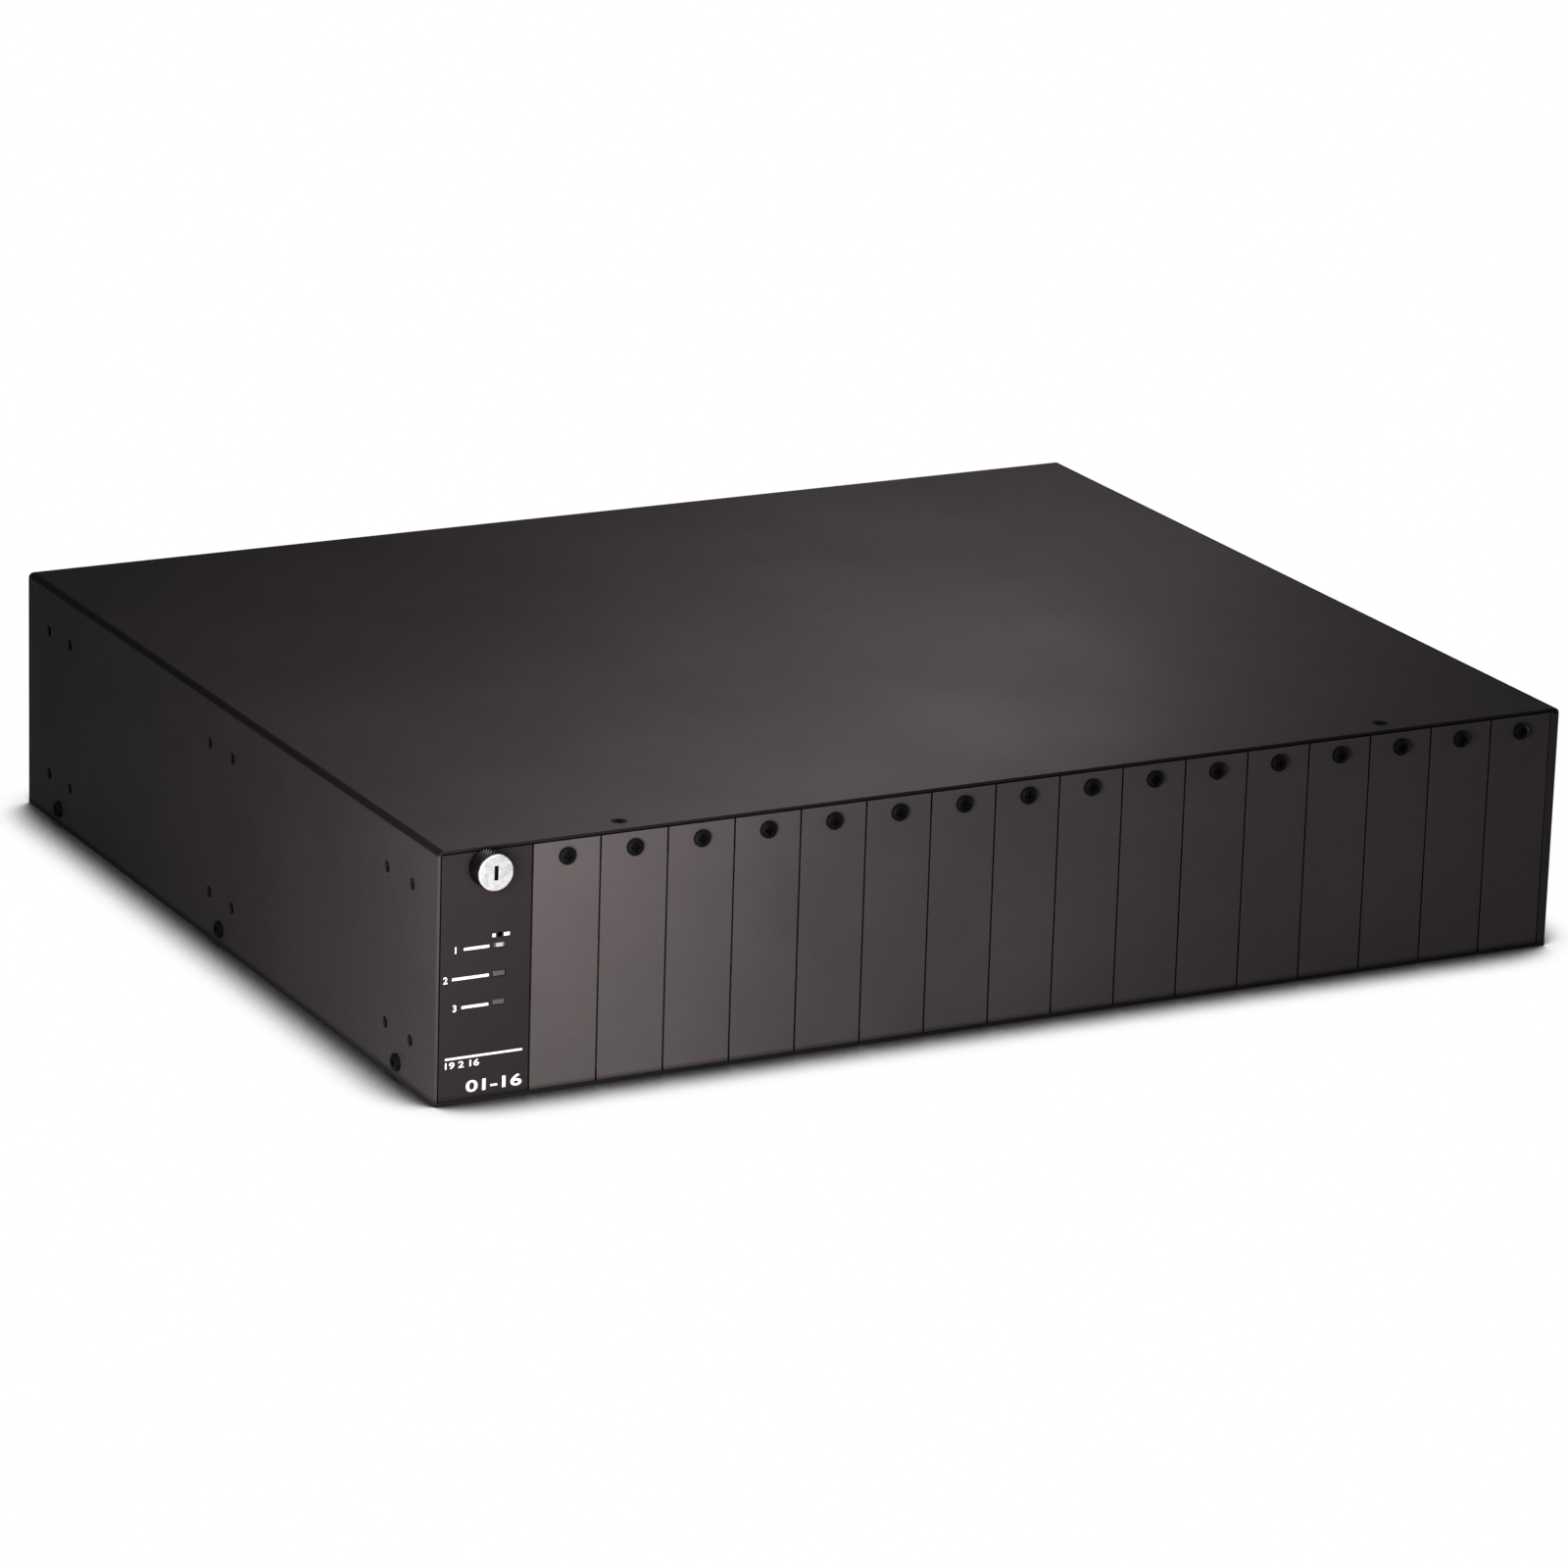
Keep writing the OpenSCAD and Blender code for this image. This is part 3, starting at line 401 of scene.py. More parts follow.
FINISH = {
    "case": painted("case_powder_coat", (0.042, 0.035, 0.035), worn=(0.16, 0.15, 0.14), rough=0.56,
                    pebble=1500.0, depth=0.00010, edge_radius=0.0004, wear=0.12),
    "cover": painted("cover_powder_coat", (0.066, 0.056, 0.056), worn=(0.20, 0.19, 0.18), rough=0.54,
                     pebble=1500.0, depth=0.00008, edge_radius=0.0003, wear=0.15),
    "panel": painted("control_plate_coat", (0.017, 0.0135, 0.0135), worn=(0.14, 0.13, 0.12), rough=0.52,
                     pebble=1700.0, depth=0.00006, edge_radius=0.0003, wear=0.15),
    "screw": plastic("black_oxide_and_slot_shade", (0.003, 0.003, 0.003), 0.62, pebble=2600.0, depth=0.00001,
                     edge_radius=0.0002, gloss_level=0.06, shine_lift=0.0),
    "bright": metal("nickel_plate", (0.72, 0.71, 0.69), 0.36, stretch=(2600.0, 90.0, 2600.0)),
    "knurl": metal("black_steel", (0.018, 0.018, 0.018), 0.42, stretch=(600.0, 600.0, 600.0)),
    "face": metal("turned_face", (0.88, 0.88, 0.87), 0.42, stretch=(900.0, 900.0, 900.0)),
    "zinc": metal("zinc_plate", (0.55, 0.55, 0.53), 0.36, stretch=(80.0, 1200.0, 1200.0)),
    "brass": metal("brass_pin", (0.86, 0.72, 0.42), 0.28, stretch=(1400.0, 80.0, 1400.0)),
    "board": circuit("green_board"),
    "black": plastic("black_moulding", (0.011, 0.011, 0.012), 0.46, gloss_level=0.16),
    "rocker": plastic("rocker_moulding", (0.010, 0.010, 0.010), 0.38, gloss_level=0.25),
    "blade": plastic("fan_blade_moulding", (0.022, 0.022, 0.023), 0.40),
    "fuse": plastic("fuse_coating", (0.52, 0.30, 0.03), 0.40),
    "nylon": plastic("guide_nylon_moulding", (0.62, 0.60, 0.52), 0.48),
    "lens": plastic("lens_moulding", (0.06, 0.058, 0.058), 0.34),
    "bright_lens": plastic("bright_lens_moulding", (0.36, 0.36, 0.35), 0.34),
    "ink": ink("white_ink", (0.86, 0.86, 0.85)),
    "sleeve": plastic("capacitor_sleeve", (0.02, 0.03, 0.09), 0.35),
    "tin": metal("tinned_lead", (0.66, 0.66, 0.64), 0.33, stretch=(900.0, 900.0, 90.0)),
}
BAYS = [f"{number:02d}" for number in range(1, 17)]
NODE_FINISH = {
    "case": ["base_tray", "top_cover", "rear_panel", "front_rail", "power_case", "blank_bay_plate"],
    "cover": ["slot_cover_" + bay for bay in BAYS],
    "panel": ["control_plate"],
    "screw": ["case_screws"] + ["slot_cover_screw_" + bay for bay in BAYS],
    "zinc": ["backplane_bracket"],
    "bright": ["fan_screws", "power_handle", "power_screws", "blank_bay_screws", "control_thumbscrew"],
    "board": ["backplane_board", "control_board", "power_board"],
    "black": ["dc_plugs", "power_sockets", "reset_button", "fan_frames", "fan_rotor_left", "fan_rotor_right",
              "power_inlet", "power_plug"],
    "rocker": ["power_switch"],
    "nylon": ["card_guides"],
    "lens": ["status_lights"],
}


def finish_nodes():
    for finish, names in NODE_FINISH.items():
        for name in names:
            nodes[name].data.materials.clear()
            nodes[name].data.materials.append(FINISH[finish])


# New pieces are modelled in millimetres along Z, and scaled once, when they are finished
FRONTWARD = Matrix.Rotation(math.pi / 2, 4, "X")
BACKWARD = Matrix.Rotation(-math.pi / 2, 4, "X")
RIGHTWARD = Matrix.Rotation(math.pi / 2, 4, "Y")


def at(x, y, z, turn=Matrix.Identity(4)):
    return Matrix.Translation((x, y, z)) @ turn


def put(target, form, place=Matrix.Identity(4)):
    """Add a form to another, moved to its place."""
    bmesh.ops.transform(form, matrix=place, verts=form.verts)
    mesh = bpy.data.meshes.new("form")
    form.to_mesh(mesh)
    form.free()
    target.from_mesh(mesh)
    bpy.data.meshes.remove(mesh)
    return target


def rounded(form, edges, offset, segments=2):
    bmesh.ops.bevel(
        form, geom=edges, offset=offset, offset_type="OFFSET", segments=segments,
        profile=0.5, affect="EDGES", clamp_overlap=True, material=-1,
    )
    return form


def block(low, high, edge=0.0, segments=2):
    form = bmesh.new()
    low, high = Vector(low), Vector(high)
    place = Matrix.Translation((low + high) / 2) @ Matrix.Diagonal((*(high - low), 1))
    bmesh.ops.create_cube(form, size=1, matrix=place)
    return rounded(form, form.edges[:], edge, segments) if edge else form


def turned(profile, steps=48):
    """A profile of radius and height pairs spun about Z."""
    form = bmesh.new()
    points = [form.verts.new((radius, 0, height)) for radius, height in profile]
    lines = [form.edges.new(pair) for pair in zip(points, points[1:])]
    bmesh.ops.spin(
        form, geom=points + lines, cent=(0, 0, 0), axis=(0, 0, 1), angle=math.tau, steps=steps, use_merge=True
    )
    bmesh.ops.remove_doubles(form, verts=form.verts, dist=0.001)
    return form


def rod(radius, low, high, edge=0.0, steps=32):
    profile = [(0, low), (radius, low), (radius, high), (0, high)]
    if edge:
        inner = radius - edge
        profile[1:3] = [(inner, low), (radius, low + edge), (radius, high - edge), (inner, high)]
    return turned(profile, steps)


def finish_piece(name, form, finish, body, replaced=()):
    """A piece of the scene from its form; finish names one finish, or more that faces pick by their index."""
    bmesh.ops.transform(form, matrix=Matrix.Scale(MM, 4), verts=form.verts)
    bmesh.ops.recalc_face_normals(form, faces=form.faces)
    mesh = bpy.data.meshes.new(name)
    form.to_mesh(mesh)
    form.free()
    piece = bpy.data.objects.new(name, mesh)
    scene.collection.objects.link(piece)
    for part in finish.split():
        mesh.materials.append(FINISH[part])
    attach(piece, body)
    if replaced:
        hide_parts(*replaced)


def low_high(node):
    low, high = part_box(node)
    return Vector(low) / MM, Vector(high) / MM


# Knurled thumbscrews: the control plate's, and the smaller captive ones at the rear.
# A slot is its width, length and depth.
FRONT_Y, FACE_Y, HEAD_GAP = -180.0, 181.4, 0.1
THUMB_X, THUMB_Z, THUMB_R, THUMB_L = -201.5, 82.0, 6.5, 8.0
THUMB_SLOT, THUMB_SHANK_R, THUMB_SHANK_L = (1.5, 5.0, 1.1), 2.0, 5.4
BAY_KNOB_X, BAY_KNOB_Z, BAY_KNOB_R, BAY_KNOB_L = 55.0, 43.2, 4.5, 9.0
BAY_KNOB_SLOT, BAY_SHANK_R, BAY_SHANK_L = (1.2, 5.0, 1.0), 1.5, 6.0
KNOB_FACE_T, KNOB_FACE_INSET, KNOB_FACE_EDGE, SHANK_OVERLAP = 1.3, 0.25, 0.3, 0.2
KNURL_DEPTH, KNURL_RIDGES, KNURL_RING = 0.35, 36, 0.85
POWER_X = 155.0


def knurled(radius, length):
    """Diamond-knurled barrel: each ring's ridges fall on the furrows of the next."""
    form = bmesh.new()
    rim = set(bmesh.ops.create_circle(form, segments=2 * KNURL_RIDGES, radius=radius, cap_ends=False)["verts"])
    rings = max(2, round(length / KNURL_RING))
    for ring in range(rings + 1):
        if ring:
            edges = [edge for edge in form.edges if edge.verts[0] in rim and edge.verts[1] in rim]
            grown = bmesh.ops.extrude_edge_only(form, edges=edges)["geom"]
            rim = {vert for vert in grown if isinstance(vert, bmesh.types.BMVert)}
        chamfer = KNURL_DEPTH if ring in (0, rings) else 0.0
        for vert in rim:
            step = round(math.atan2(vert.co.y, vert.co.x) / math.tau * 2 * KNURL_RIDGES)
            reach = radius - chamfer - (KNURL_DEPTH if (step + ring) % 2 else 0.0)
            vert.co = (*(vert.co.xy.normalized() * reach), length * ring / rings)
    bmesh.ops.holes_fill(form, edges=[edge for edge in form.edges if edge.is_boundary])
    return form


def slotted_disc(radius, low, high, edge, slot_w, slot_l, slot_d):
    """Turned disc whose face is cut by a straight driver slot along Y; the slot takes the second finish, a dark
    one that paints the shade in the slot.
    """
    form = rod(radius, low, high, edge, steps=64)
    for axis, half in ((Vector((1, 0, 0)), slot_w / 2), (Vector((0, 1, 0)), slot_l / 2)):
        for side in (-1, 1):
            geometry = form.verts[:] + form.edges[:] + form.faces[:]
            bmesh.ops.bisect_plane(form, geom=geometry, plane_co=axis * side * half, plane_no=axis)
    floor = [
        face for face in form.faces
        if face.calc_center_median().z > high - edge / 2
        and abs(face.calc_center_median().x) < slot_w / 2 and abs(face.calc_center_median().y) < slot_l / 2
    ]
    grown = bmesh.ops.extrude_face_region(form, geom=floor)["geom"]
    sunk = [item for item in grown if isinstance(item, bmesh.types.BMVert)]
    bmesh.ops.delete(form, geom=floor, context="FACES")
    # The slot's floor and walls take the dark second finish as painted shade
    for vert in sunk:
        for face in vert.link_faces:
            face.material_index = 1
    bmesh.ops.translate(form, vec=(0, 0, -slot_d), verts=sunk)
    return form


def knob_face(radius, length, slot):
    return slotted_disc(radius - KNOB_FACE_INSET, length - KNOB_FACE_T, length, KNOB_FACE_EDGE, *slot)


def make_control_knob():
    place = at(THUMB_X, FRONT_Y - HEAD_GAP, THUMB_Z, FRONTWARD)
    barrel = knurled(THUMB_R, THUMB_L - KNOB_FACE_T)
    put(barrel, rod(THUMB_SHANK_R, -THUMB_SHANK_L, SHANK_OVERLAP))
    form = put(bmesh.new(), barrel, place)
    finish_piece("control_knob_barrel", form, "knurl", "control_knob", ["control_thumbscrew"])
    form = put(bmesh.new(), knob_face(THUMB_R, THUMB_L, THUMB_SLOT), place)
    # The slot takes the dark screw finish as painted shade
    finish_piece("control_knob_face", form, "face screw", "control_knob")


def make_bay_knobs(side, body, name, node):
    """Two captive thumbscrews: knurled barrel, slotted turned face and plain shank."""
    form = bmesh.new()
    for offset in (-BAY_KNOB_X, BAY_KNOB_X):
        knob = knurled(BAY_KNOB_R, BAY_KNOB_L - KNOB_FACE_T)
        put(knob, knob_face(BAY_KNOB_R, BAY_KNOB_L, BAY_KNOB_SLOT))
        put(knob, rod(BAY_SHANK_R, -BAY_SHANK_L, SHANK_OVERLAP, edge=0.2, steps=24))
        put(form, knob, at(side * POWER_X + offset, FACE_Y + HEAD_GAP, BAY_KNOB_Z, BACKWARD))
    # The slots take the dark screw finish as painted shade
    finish_piece(name, form, "bright screw", body, [node])


# Indicator lights: window heights, then the pipe's and the lamp's depths behind the plate's face
LIGHT_X, BOARD_X, LIGHT_HEIGHTS = -196.0, -202.4, (54.0, 44.0, 34.0)
PIPE_HALF_W, PIPE_HALF_H, PIPE_FROM, PIPE_TO = 2.25, 1, 0.1, 6
LAMP_FROM, LAMP_TO = 5.9, 9
SPOT_HALF_W, SPOT_HALF_H, SPOT_FROM, SPOT_TO = 1.3, 0.7, 0.03, 0.14


def make_lights():
    """Light pipes with the lamp behind each; the top one has a bright spot in its window."""
    for number, height in enumerate(LIGHT_HEIGHTS, 1):
        low, high = height - PIPE_HALF_H, height + PIPE_HALF_H
        pipe = block((LIGHT_X - PIPE_HALF_W, FRONT_Y + PIPE_FROM, low),
                     (LIGHT_X + PIPE_HALF_W, FRONT_Y + PIPE_TO, high), edge=0.35, segments=3)
        put(pipe, block((BOARD_X, FRONT_Y + LAMP_FROM, low), (LIGHT_X, FRONT_Y + LAMP_TO, high), edge=0.25))
        finish_piece(f"light_pipe_{number}", pipe, "lens", "control_module", ["status_lights"])
    spot = block((LIGHT_X - SPOT_HALF_W, FRONT_Y + SPOT_FROM, LIGHT_HEIGHTS[0] - SPOT_HALF_H),
                 (LIGHT_X + SPOT_HALF_W, FRONT_Y + SPOT_TO, LIGHT_HEIGHTS[0] + SPOT_HALF_H), edge=0.05)
    finish_piece("light_spot", spot, "bright_lens", "control_module")


# Print on the control plate. A numeral's height is a share of its letter size, and its strokes are
# widened by a share of its height. Numeral places are left end and middle height.
PRINT_T, CAP_SHARE, BOLD_SHARE = 0.03, 0.7, 0.03
NUMERAL_H, NUMERAL_PLACES = 2.3, ((-212.3, 54.0), (-216.4, 43.9), (-212.8, 33.7))
BAR_START, BAR_END, BAR_HALF_H = 3.2, -199.8, 0.5
RESET_DASHES, RESET_LOW, RESET_HIGH = ((-198.7, -197.5), (-194.6, -192.4)), 56.9, 58.1
RULE = (-215.3, -187.0, 15.7, 16.5)  # left, right, low, high
RULE_PRINT = ("19 2 16", -215.3, 12.7, 2.2, 12.5)  # words, left, base, height, width
BAYS_PRINT = ("01-16", -207.5, 3.7, 3.9, 20.5)


def printed(words, left, base, height, width=None):
    """Printed numerals as a thin mesh on the control plate, from the left and bottom of their place."""
    letters = bpy.data.curves.new("print", "FONT")
    letters.body, letters.size = words, height / CAP_SHARE
    letters.extrude, letters.offset = PRINT_T, height * BOLD_SHARE
    holder = bpy.data.objects.new("print", letters)
    mesh = bpy.data.meshes.new_from_object(holder)
    form = bmesh.new()
    form.from_mesh(mesh)
    bpy.data.objects.remove(holder)
    bpy.data.curves.remove(letters)
    bpy.data.meshes.remove(mesh)
    bmesh.ops.remove_doubles(form, verts=form.verts, dist=0.0001)
    low = min(vert.co.x for vert in form.verts)
    span = max(vert.co.x for vert in form.verts) - low
    stretch = Matrix.Diagonal((width / span if width else 1, 1, 1, 1)) @ Matrix.Translation((-low, 0, 0))
    return put(bmesh.new(), put(bmesh.new(), form, stretch), at(left, FRONT_Y, base, FRONTWARD))


def stroke(left, right, low, high):
    return block((left, FRONT_Y - PRINT_T, low), (right, FRONT_Y + PRINT_T, high), edge=0.02, segments=1)


def make_prints():
    """Plain numbers and bars where the plate's printing is."""
    for number, (left, middle) in enumerate(NUMERAL_PLACES, 1):
        form = printed(str(number), left, middle - NUMERAL_H / 2, NUMERAL_H)
        put(form, stroke(left + BAR_START, BAR_END, middle - BAR_HALF_H, middle + BAR_HALF_H))
        finish_piece(f"print_light_{number}", form, "ink", "control_module")
    form = bmesh.new()
    for left, right in RESET_DASHES:
        put(form, stroke(left, right, RESET_LOW, RESET_HIGH))
    finish_piece("print_reset", form, "ink", "control_module")
    form = put(stroke(*RULE), printed(*RULE_PRINT))
    finish_piece("print_rule", form, "ink", "control_module")
    finish_piece("print_bays", printed(*BAYS_PRINT), "ink", "control_module")


# Fan rotors: blades run from root to tip; their angles are in radians at the hub, and grow outwards
FAN_X, FAN_Y, FAN_Z = 49.25, 166.5, 44.45
HUB_PROFILE = [(0, -8), (11.6, -8), (13, -6.6), (13, 7.2), (12.2, 8), (9, 8), (8.6, 7.6), (0, 7.6)]
BLADES, BLADE_ROOT, BLADE_TIP, BLADE_T, BLADE_HALF_DEPTH = 7, 12.4, 27.3, 1.1, 6.4
BLADE_SPREAD, BLADE_WIDEN, BLADE_SWEEP, BLADE_TAPER = 0.36, 0.06, 0.30, 0.16


def make_rotor(name, side):
    """Fan rotor: moulded hub and swept, twisted blades."""
    form = turned(HUB_PROFILE, steps=64)
    for blade in range(BLADES):
        wing = bmesh.new()
        bmesh.ops.create_grid(wing, x_segments=8, y_segments=8, size=0.5)
        for vert in wing.verts:
            out, along = vert.co.x + 0.5, 2 * vert.co.y
            reach = BLADE_ROOT + out * (BLADE_TIP - BLADE_ROOT)
            angle = along * (BLADE_SPREAD + BLADE_WIDEN * out) + BLADE_SWEEP * out * out
            depth = BLADE_HALF_DEPTH * along * (1 - BLADE_TAPER * out)
            vert.co = (reach * math.cos(angle), reach * math.sin(angle), depth)
        bmesh.ops.solidify(wing, geom=wing.faces[:], thickness=BLADE_T)
        put(form, wing, Matrix.Rotation(math.tau * blade / BLADES, 4, "Z"))
    form = put(bmesh.new(), form, at(side * FAN_X, FAN_Y, FAN_Z, BACKWARD))
    finish_piece(f"fan_blades_{name}", form, "blade", f"{name}_fan", [f"fan_rotor_{name}"])


# Mains inlet and rocker; the rocker's marks lie on its two sloping faces, in its own frame
INLET_X, INLET_Z = 175.0, 26.0
PIN_PLACES, PIN_HALF_W, PIN_HALF_H, PIN_FROM_Y, PIN_TO_Y = ((-7, -2), (0, 2), (7, -2)), 1.03, 2.03, 165.1, 178.1
ROCKER_X, ROCKER_Y, ROCKER_TILT, ROCKER_SLOPE = 148.0, 178.9, math.radians(-7), math.atan2(2.4, 8.2)
MARK_OUT, MARK_UP, MARK_LOW, MARK_HIGH = 5.4, 4.1, -0.03, 0.04
RING_IN, RING_OUT, STICK_HALF_W, STICK_HALF_H = 1.15, 1.6, 0.3, 1.6


def make_inlet():
    form = bmesh.new()
    for across, up in PIN_PLACES:
        x, z = INLET_X + across, INLET_Z + up
        put(form, block((x - PIN_HALF_W, PIN_FROM_Y, z - PIN_HALF_H),
                        (x + PIN_HALF_W, PIN_TO_Y, z + PIN_HALF_H), edge=0.5, segments=3))
    finish_piece("inlet_pins", form, "brass", "power_module")
    pivot = at(ROCKER_X, ROCKER_Y, INLET_Z, Matrix.Rotation(ROCKER_TILT, 4, "X"))
    ring = turned([(RING_IN, MARK_LOW), (RING_OUT, MARK_LOW), (RING_OUT, MARK_HIGH), (RING_IN, MARK_HIGH),
                   (RING_IN, MARK_LOW)], steps=40)
    stick = block((-STICK_HALF_W, -STICK_HALF_H, MARK_LOW), (STICK_HALF_W, STICK_HALF_H, MARK_HIGH),
                  edge=0.03, segments=1)
    marks = bmesh.new()
    for mark, side in ((ring, -1), (stick, 1)):
        slope = Matrix.Rotation(-side * ROCKER_SLOPE, 4, "X")
        put(marks, mark, pivot @ at(0, MARK_OUT, side * MARK_UP, slope @ BACKWARD))
    finish_piece("rocker_marks", marks, "ink", "rocker")


# Backplane parts, one set for each bay
FIRST_BAY_X, BAY_PITCH = -171.9, 25
PLUG_Y, PLUG_Z = -70, 24
SLEEVE_PROFILE = [(2.7, 0.1), (2.82, 0.1), (2.82, 8.9), (2.7, 9.05), (2.7, 0.1)]
FUSE_HALF, FUSE_Z, FUSE_FRONT_Y, FUSE_REAR_Y = 4, 44, -64.4, -61.2
LEAD_X, LEAD_Y, LEAD_R, LEAD_L = 2.5, -60.1, 0.4, 2.2


def make_backplane_parts():
    """Plated sleeves on the DC plugs, and a fuse and a lead pair for each bay."""
    sleeves, fuses, leads = bmesh.new(), bmesh.new(), bmesh.new()
    for bay in range(len(BAYS)):
        x = FIRST_BAY_X + BAY_PITCH * bay
        put(sleeves, turned(SLEEVE_PROFILE, steps=32), at(x, PLUG_Y, PLUG_Z, FRONTWARD))
        put(fuses, block((x - FUSE_HALF, FUSE_FRONT_Y, FUSE_Z - FUSE_HALF),
                         (x + FUSE_HALF, FUSE_REAR_Y, FUSE_Z + FUSE_HALF), edge=1.2, segments=3))
        for side in (-1, 1):
            put(leads, rod(LEAD_R, 0, LEAD_L, steps=12), at(x + side * LEAD_X, LEAD_Y, FUSE_Z, FRONTWARD))
    finish_piece("plug_sleeves", sleeves, "bright", "chassis")
    finish_piece("bay_fuses", fuses, "fuse", "chassis")
    finish_piece("bay_fuse_leads", leads, "tin", "chassis")


# Control board parts: chips as middle Y, middle Z, width and height, and capacitors as middle Y and Z.
# Depths are from and to the board's face.
CHIPS = ((-150, 40, 14, 14), (-118, 52, 20, 8), (-118, 34, 20, 8), (-92, 42, 10, 16))
CHIP_FROM, CHIP_TO, CHIP_EDGE = 0.35, 1.9, 0.2
LEG_PITCH, LEG_START, LEG_OUT, LEG_HALF_W, LEG_HALF_L = 1.27, 0.64, 0.45, 0.22, 0.6
LEG_FROM, LEG_TO, LEG_EDGE = -0.02, 0.9, 0.12
CONTROL_CANS = ((-138, 18), (-126, 18), (-104, 18), (-92, 62))
CONTROL_CAN_PROFILE = [(0, 0.1), (4, 0.1), (4, 1.0), (3.7, 1.5), (4, 2.0), (4, 9.6), (3.6, 10), (2.6, 9.8),
                       (0, 9.8)]


def make_control_parts():
    """Chips with their legs and a few capacitors on the control board."""
    chips, legs, cans = bmesh.new(), bmesh.new(), bmesh.new()
    for y, z, wide, tall in CHIPS:
        put(chips, block((BOARD_X + CHIP_FROM, y - wide / 2, z - tall / 2),
                         (BOARD_X + CHIP_TO, y + wide / 2, z + tall / 2), CHIP_EDGE))
        for leg in range(int(wide / LEG_PITCH)):
            along = y - wide / 2 + LEG_START + LEG_PITCH * leg
            for side in (-1, 1):
                rim = z + side * (tall / 2 + LEG_OUT)
                put(legs, block((BOARD_X + LEG_FROM, along - LEG_HALF_W, rim - LEG_HALF_L),
                                (BOARD_X + LEG_TO, along + LEG_HALF_W, rim + LEG_HALF_L), LEG_EDGE, segments=1))
    for y, z in CONTROL_CANS:
        put(cans, turned(CONTROL_CAN_PROFILE, steps=40), at(BOARD_X, y, z, RIGHTWARD))
    finish_piece("control_chips", chips, "black", "control_module")
    finish_piece("control_chip_legs", legs, "tin", "control_module")
    finish_piece("control_capacitors", cans, "sleeve", "control_module")


# Power board parts, placed from the middle of the power module's case, on the board
BOARD_T, CASE_WALL = 1.6, 1.2
CORE_HALF, CORE_PLATES, CORE_FROM, CORE_TO = 17, ((0, 6), (24, 30)), 5.8, 24.2
CORE_POST_X, CORE_POST_HALF, CORE_POST_Y, CORE_R = 14.2, 2.7, 11, 12.2
WINDING_PROFILE = [(12, 5.5), (15.6, 5.5), (16.4, 6.3), (16.4, 23.7), (15.6, 24.5), (12, 24.5), (12, 5.5)]
SINK_X, SINK_HALF_T, SINK_HALF_L, SINK_H = 38, 2, 45, 42
FINS, FIN_PITCH, FIN_START, FIN_T, FIN_LOW, FIN_HIGH, FIN_ROOT, FIN_TIP = 9, 10.8, -44, 1.6, 1, 41, 36.2, 33.4
POWER_CAN_X, POWER_CAN_Y = 16, -60
POWER_CAN_PROFILE = [(0, 0.1), (10.8, 0.1), (11, 0.6), (11, 2.4), (10.5, 3.0), (11, 3.6), (11, 35), (10.2, 36),
                     (8.6, 35.5), (0, 35.5)]


def make_power_parts():
    """Power board: wound transformer, finned heat sinks and can capacitors on a bare board."""
    low, high = low_high("power_board")
    base, middle = low.z + BOARD_T, (low_high("power_case")[0].y + FACE_Y - CASE_WALL) / 2
    place = at(POWER_X, middle, base)
    board = block(low, (high.x, high.y, base))
    finish_piece("power_board_sheet", board, "board", "power_module", ["power_board"])
    core, sinks, cans = bmesh.new(), bmesh.new(), bmesh.new()
    for plate_low, plate_high in CORE_PLATES:
        put(core, block((-CORE_HALF, -CORE_HALF, plate_low), (CORE_HALF, CORE_HALF, plate_high), edge=0.6))
    for side in (-1, 1):
        left, right = side * CORE_POST_X - CORE_POST_HALF, side * CORE_POST_X + CORE_POST_HALF
        for front, back in ((-CORE_HALF, -CORE_POST_Y), (CORE_POST_Y, CORE_HALF)):
            put(core, block((left, front, CORE_FROM), (right, back, CORE_TO), edge=0.4, segments=1))
    put(core, rod(CORE_R, CORE_FROM, CORE_TO))
    finish_piece("transformer_core", put(bmesh.new(), core, place), "black", "power_module")
    winding = put(bmesh.new(), turned(WINDING_PROFILE), place)
    finish_piece("transformer_winding", winding, "fuse", "power_module")
    for side in (-1, 1):
        put(sinks, block((side * SINK_X - SINK_HALF_T, -SINK_HALF_L, 0),
                         (side * SINK_X + SINK_HALF_T, SINK_HALF_L, SINK_H), edge=0.4, segments=1))
        left, right = sorted((side * FIN_ROOT, side * FIN_TIP))
        for fin in range(FINS):
            front = FIN_START + fin * FIN_PITCH
            put(sinks, block((left, front, FIN_LOW), (right, front + FIN_T, FIN_HIGH), edge=0.3, segments=1))
    finish_piece("heat_sinks", put(bmesh.new(), sinks, place), "knurl", "power_module")
    for side in (-1, 1):
        put(cans, turned(POWER_CAN_PROFILE, steps=56), at(side * POWER_CAN_X, POWER_CAN_Y, 0))
    finish_piece("power_capacitors", put(bmesh.new(), cans, place), "sleeve", "power_module")


# Studio, in metres. Each lamp: name, place, aim, width and length, watts, turn in degrees
LAMPS = (
    ("corner_softbox", (-0.34, -0.39, 0.12), (-0.14, -0.14, 0.05), (0.2, 0.2), 1.65, 0),
    ("overhead_strip", (0.039, 0.007, 0.268), (0.039, 0.007, 0.0), (0.65, 0.05), 0.85, 45),
    ("rear_softbox", (0.05, 0.80, 0.044), (0.05, 0.18, 0.044), (0.5, 0.08), 6.0, 0),
    ("right_softbox", (0.85, 0.0, 0.044), (0.22, 0.0, 0.044), (0.5, 0.08), 6.0, 0),
)
SOFT_LIGHT = 0.03
DOME_FRONT = (-0.45, -0.85, 0.27)
DOME_FADE = (-0.5, 0.5, 0.032, 0.8)  # from and to facing, from and to brightness
FLOOR_REACH, FLOOR_DROP, FLOOR_TONE, FLOOR_ROUGH = 6, 0.0002, 0.82, 0.9
SHADOW_REACH = 0.037
SHADOW_FADE = (0.53, 0.84, 0.01, 1.0)  # from and to openness, from and to brightness


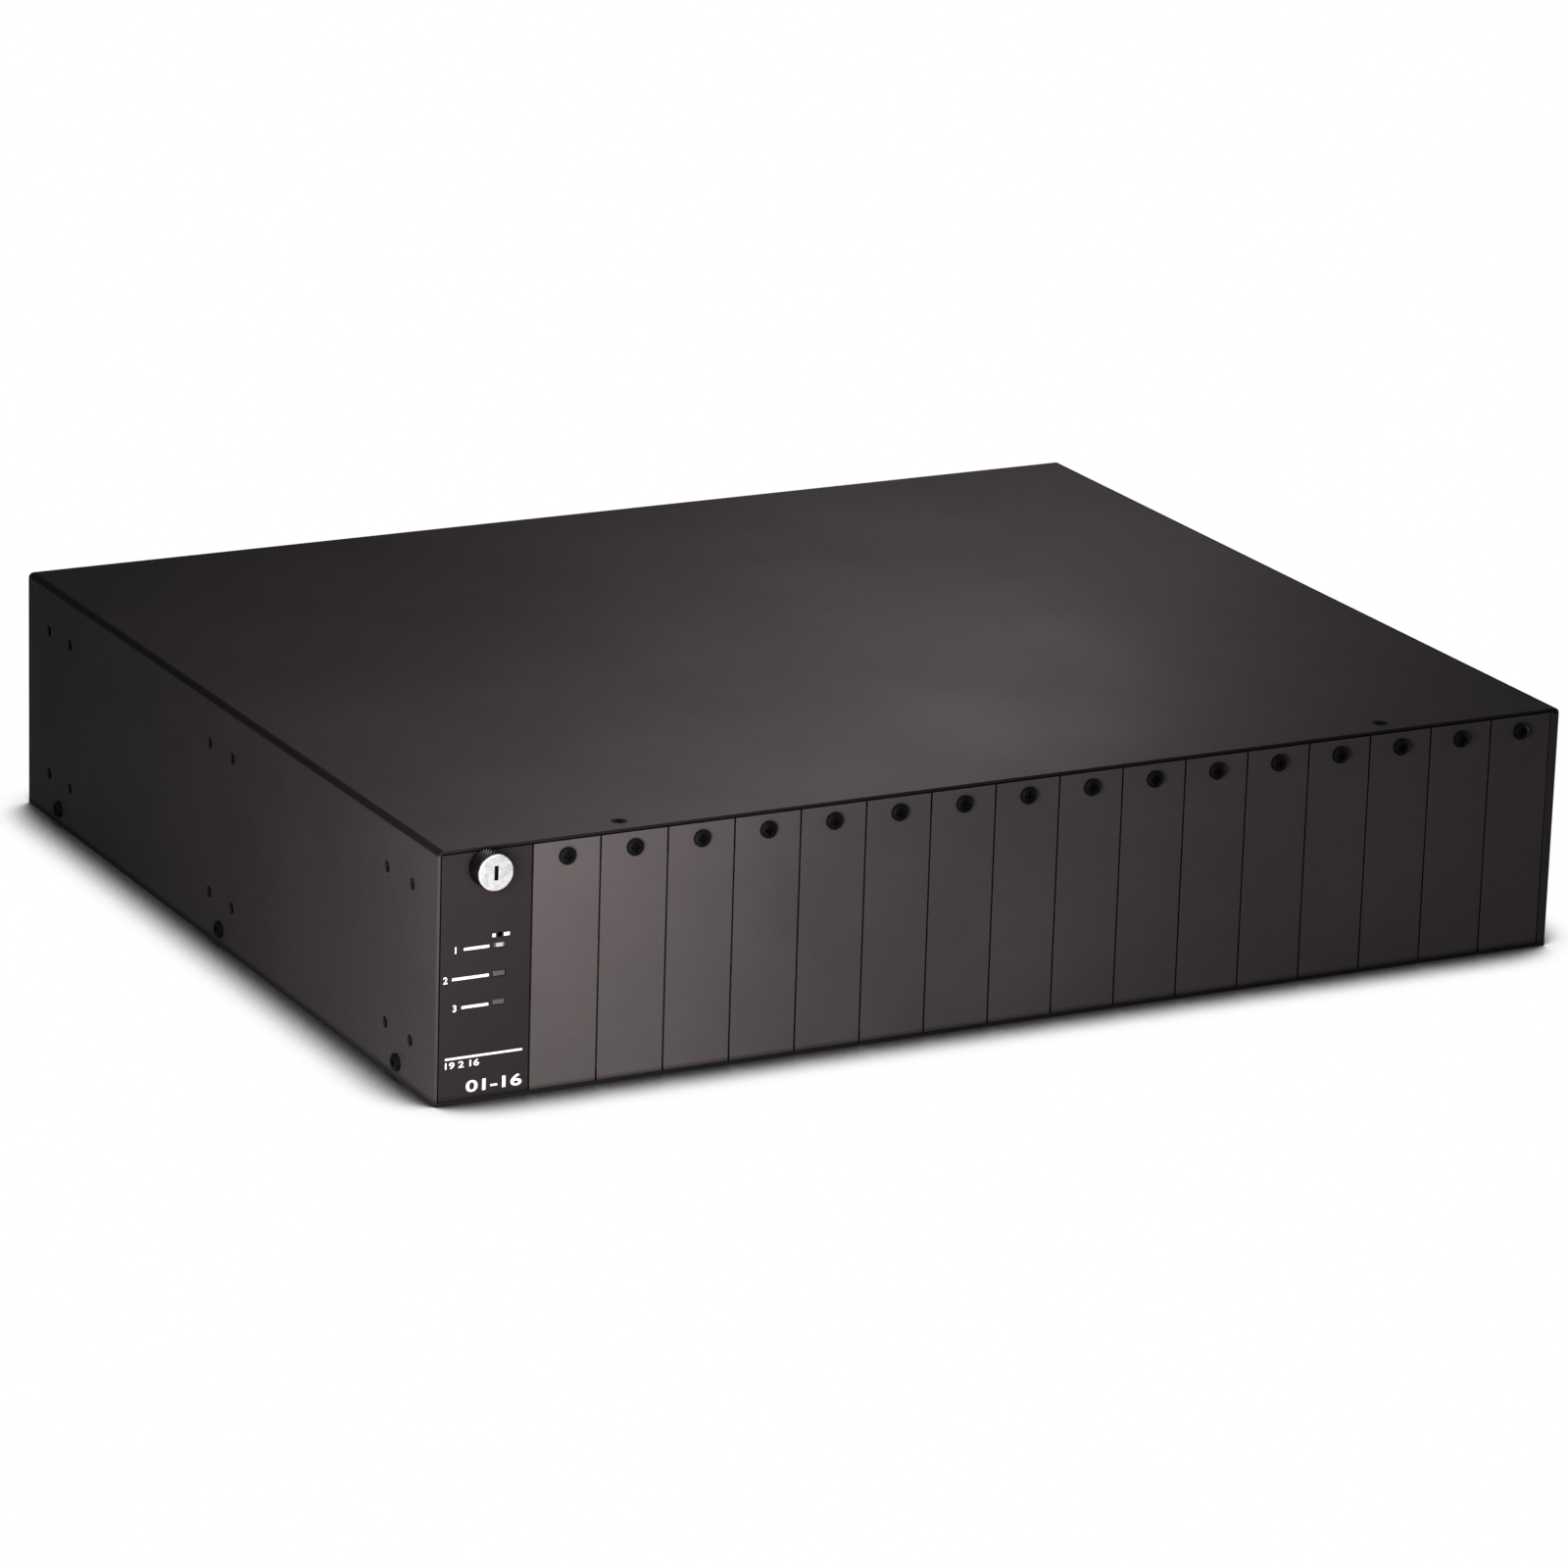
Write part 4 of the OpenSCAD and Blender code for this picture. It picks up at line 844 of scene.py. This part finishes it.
def make_lamp(name, place, aim, size, watts, turn):
    data = bpy.data.lights.new(name, "AREA")
    data.shape, data.size, data.size_y = "RECTANGLE", *size
    data.energy = watts
    lamp = bpy.data.objects.new(name, data)
    scene.collection.objects.link(lamp)
    lamp.location = place
    lamp.visible_camera = False
    lamp.rotation_mode = "QUATERNION"
    aimed = (Vector(aim) - Vector(place)).to_track_quat("-Z", "Y")
    lamp.rotation_quaternion = aimed @ Matrix.Rotation(math.radians(turn), 4, "Z").to_quaternion()


def make_studio():
    """Plain white for the eye, a dome dimmer towards the back for gloss, and low soft light on the rest."""
    world = bpy.data.worlds.new("studio")
    scene.world = world
    world.use_nodes = True
    tree = world.node_tree
    tree.nodes.clear()
    path = add(tree, "ShaderNodeLightPath", (-1000, 200))
    place = add(tree, "ShaderNodeTexCoord", (-1000, -100))
    facing = add(tree, "ShaderNodeVectorMath", (-800, -100), operation="DOT_PRODUCT")
    tree.links.new(place.outputs["Generated"], facing.inputs[0])
    facing.inputs[1].default_value = DOME_FRONT
    dome = ramp(tree, (-600, -100), facing.outputs["Value"], *DOME_FADE)
    gloss = math_node(tree, "MULTIPLY", (-400, 0), path.outputs["Is Glossy Ray"], dome)
    seen = math_node(tree, "MAXIMUM", (-500, 200), path.outputs["Is Camera Ray"], gloss)
    seen = math_node(tree, "MAXIMUM", (-300, 200), seen, path.outputs["Is Transmission Ray"])
    soft = add(tree, "ShaderNodeBackground", (-200, 0))
    soft.inputs["Strength"].default_value = SOFT_LIGHT
    white = add(tree, "ShaderNodeBackground", (-200, -150))
    white.inputs["Color"].default_value = (1, 1, 1, 1)
    choose = add(tree, "ShaderNodeMixShader", (100, 0))
    output = add(tree, "ShaderNodeOutputWorld", (300, 0))
    tree.links.new(seen, choose.inputs[0])
    tree.links.new(soft.outputs[0], choose.inputs[1])
    tree.links.new(white.outputs[0], choose.inputs[2])
    tree.links.new(choose.outputs[0], output.inputs[0])


def make_floor():
    """White sheet: the eye sees plain white with the object's contact shadow, gloss sees it lit."""
    mesh = bpy.data.meshes.new("floor")
    form = bmesh.new()
    bmesh.ops.create_grid(form, x_segments=1, y_segments=1, size=FLOOR_REACH)
    form.to_mesh(mesh)
    form.free()
    floor = bpy.data.objects.new("floor", mesh)
    scene.collection.objects.link(floor)
    floor.location.z = cad_low.z - FLOOR_DROP
    material, tree, shader = new_material("floor_white")
    shader.inputs["Base Color"].default_value = (FLOOR_TONE, FLOOR_TONE, FLOOR_TONE, 1)
    shader.inputs["Roughness"].default_value = FLOOR_ROUGH
    shader.inputs["Specular IOR Level"].default_value = 0.0
    near = add(tree, "ShaderNodeAmbientOcclusion", (-300, 300), samples=20)
    near.inputs["Distance"].default_value = SHADOW_REACH
    shade = ramp(tree, (0, 300), near.outputs["AO"], *SHADOW_FADE)
    shade.node.interpolation_type = "SMOOTHSTEP"
    white = add(tree, "ShaderNodeEmission", (300, 300))
    tree.links.new(shade, white.inputs["Strength"])
    path = add(tree, "ShaderNodeLightPath", (300, 500))
    choose = add(tree, "ShaderNodeMixShader", (650, 200))
    tree.links.new(path.outputs["Is Camera Ray"], choose.inputs[0])
    tree.links.new(shader.outputs[0], choose.inputs[1])
    tree.links.new(white.outputs[0], choose.inputs[2])
    tree.links.new(choose.outputs[0], tree.nodes["Material Output"].inputs[0])
    mesh.materials.append(material)


finish_nodes()
make_control_knob()
make_lights()
make_prints()
make_rotor("left", -1)
make_rotor("right", 1)
make_bay_knobs(1, "power_module", "power_thumbscrews", "power_screws")
make_bay_knobs(-1, "spare_bay_cover", "spare_bay_thumbscrews", "blank_bay_screws")
make_inlet()
make_backplane_parts()
make_control_parts()
make_power_parts()

make_camera()
make_studio()
make_floor()
for lamp in LAMPS:
    make_lamp(*lamp)
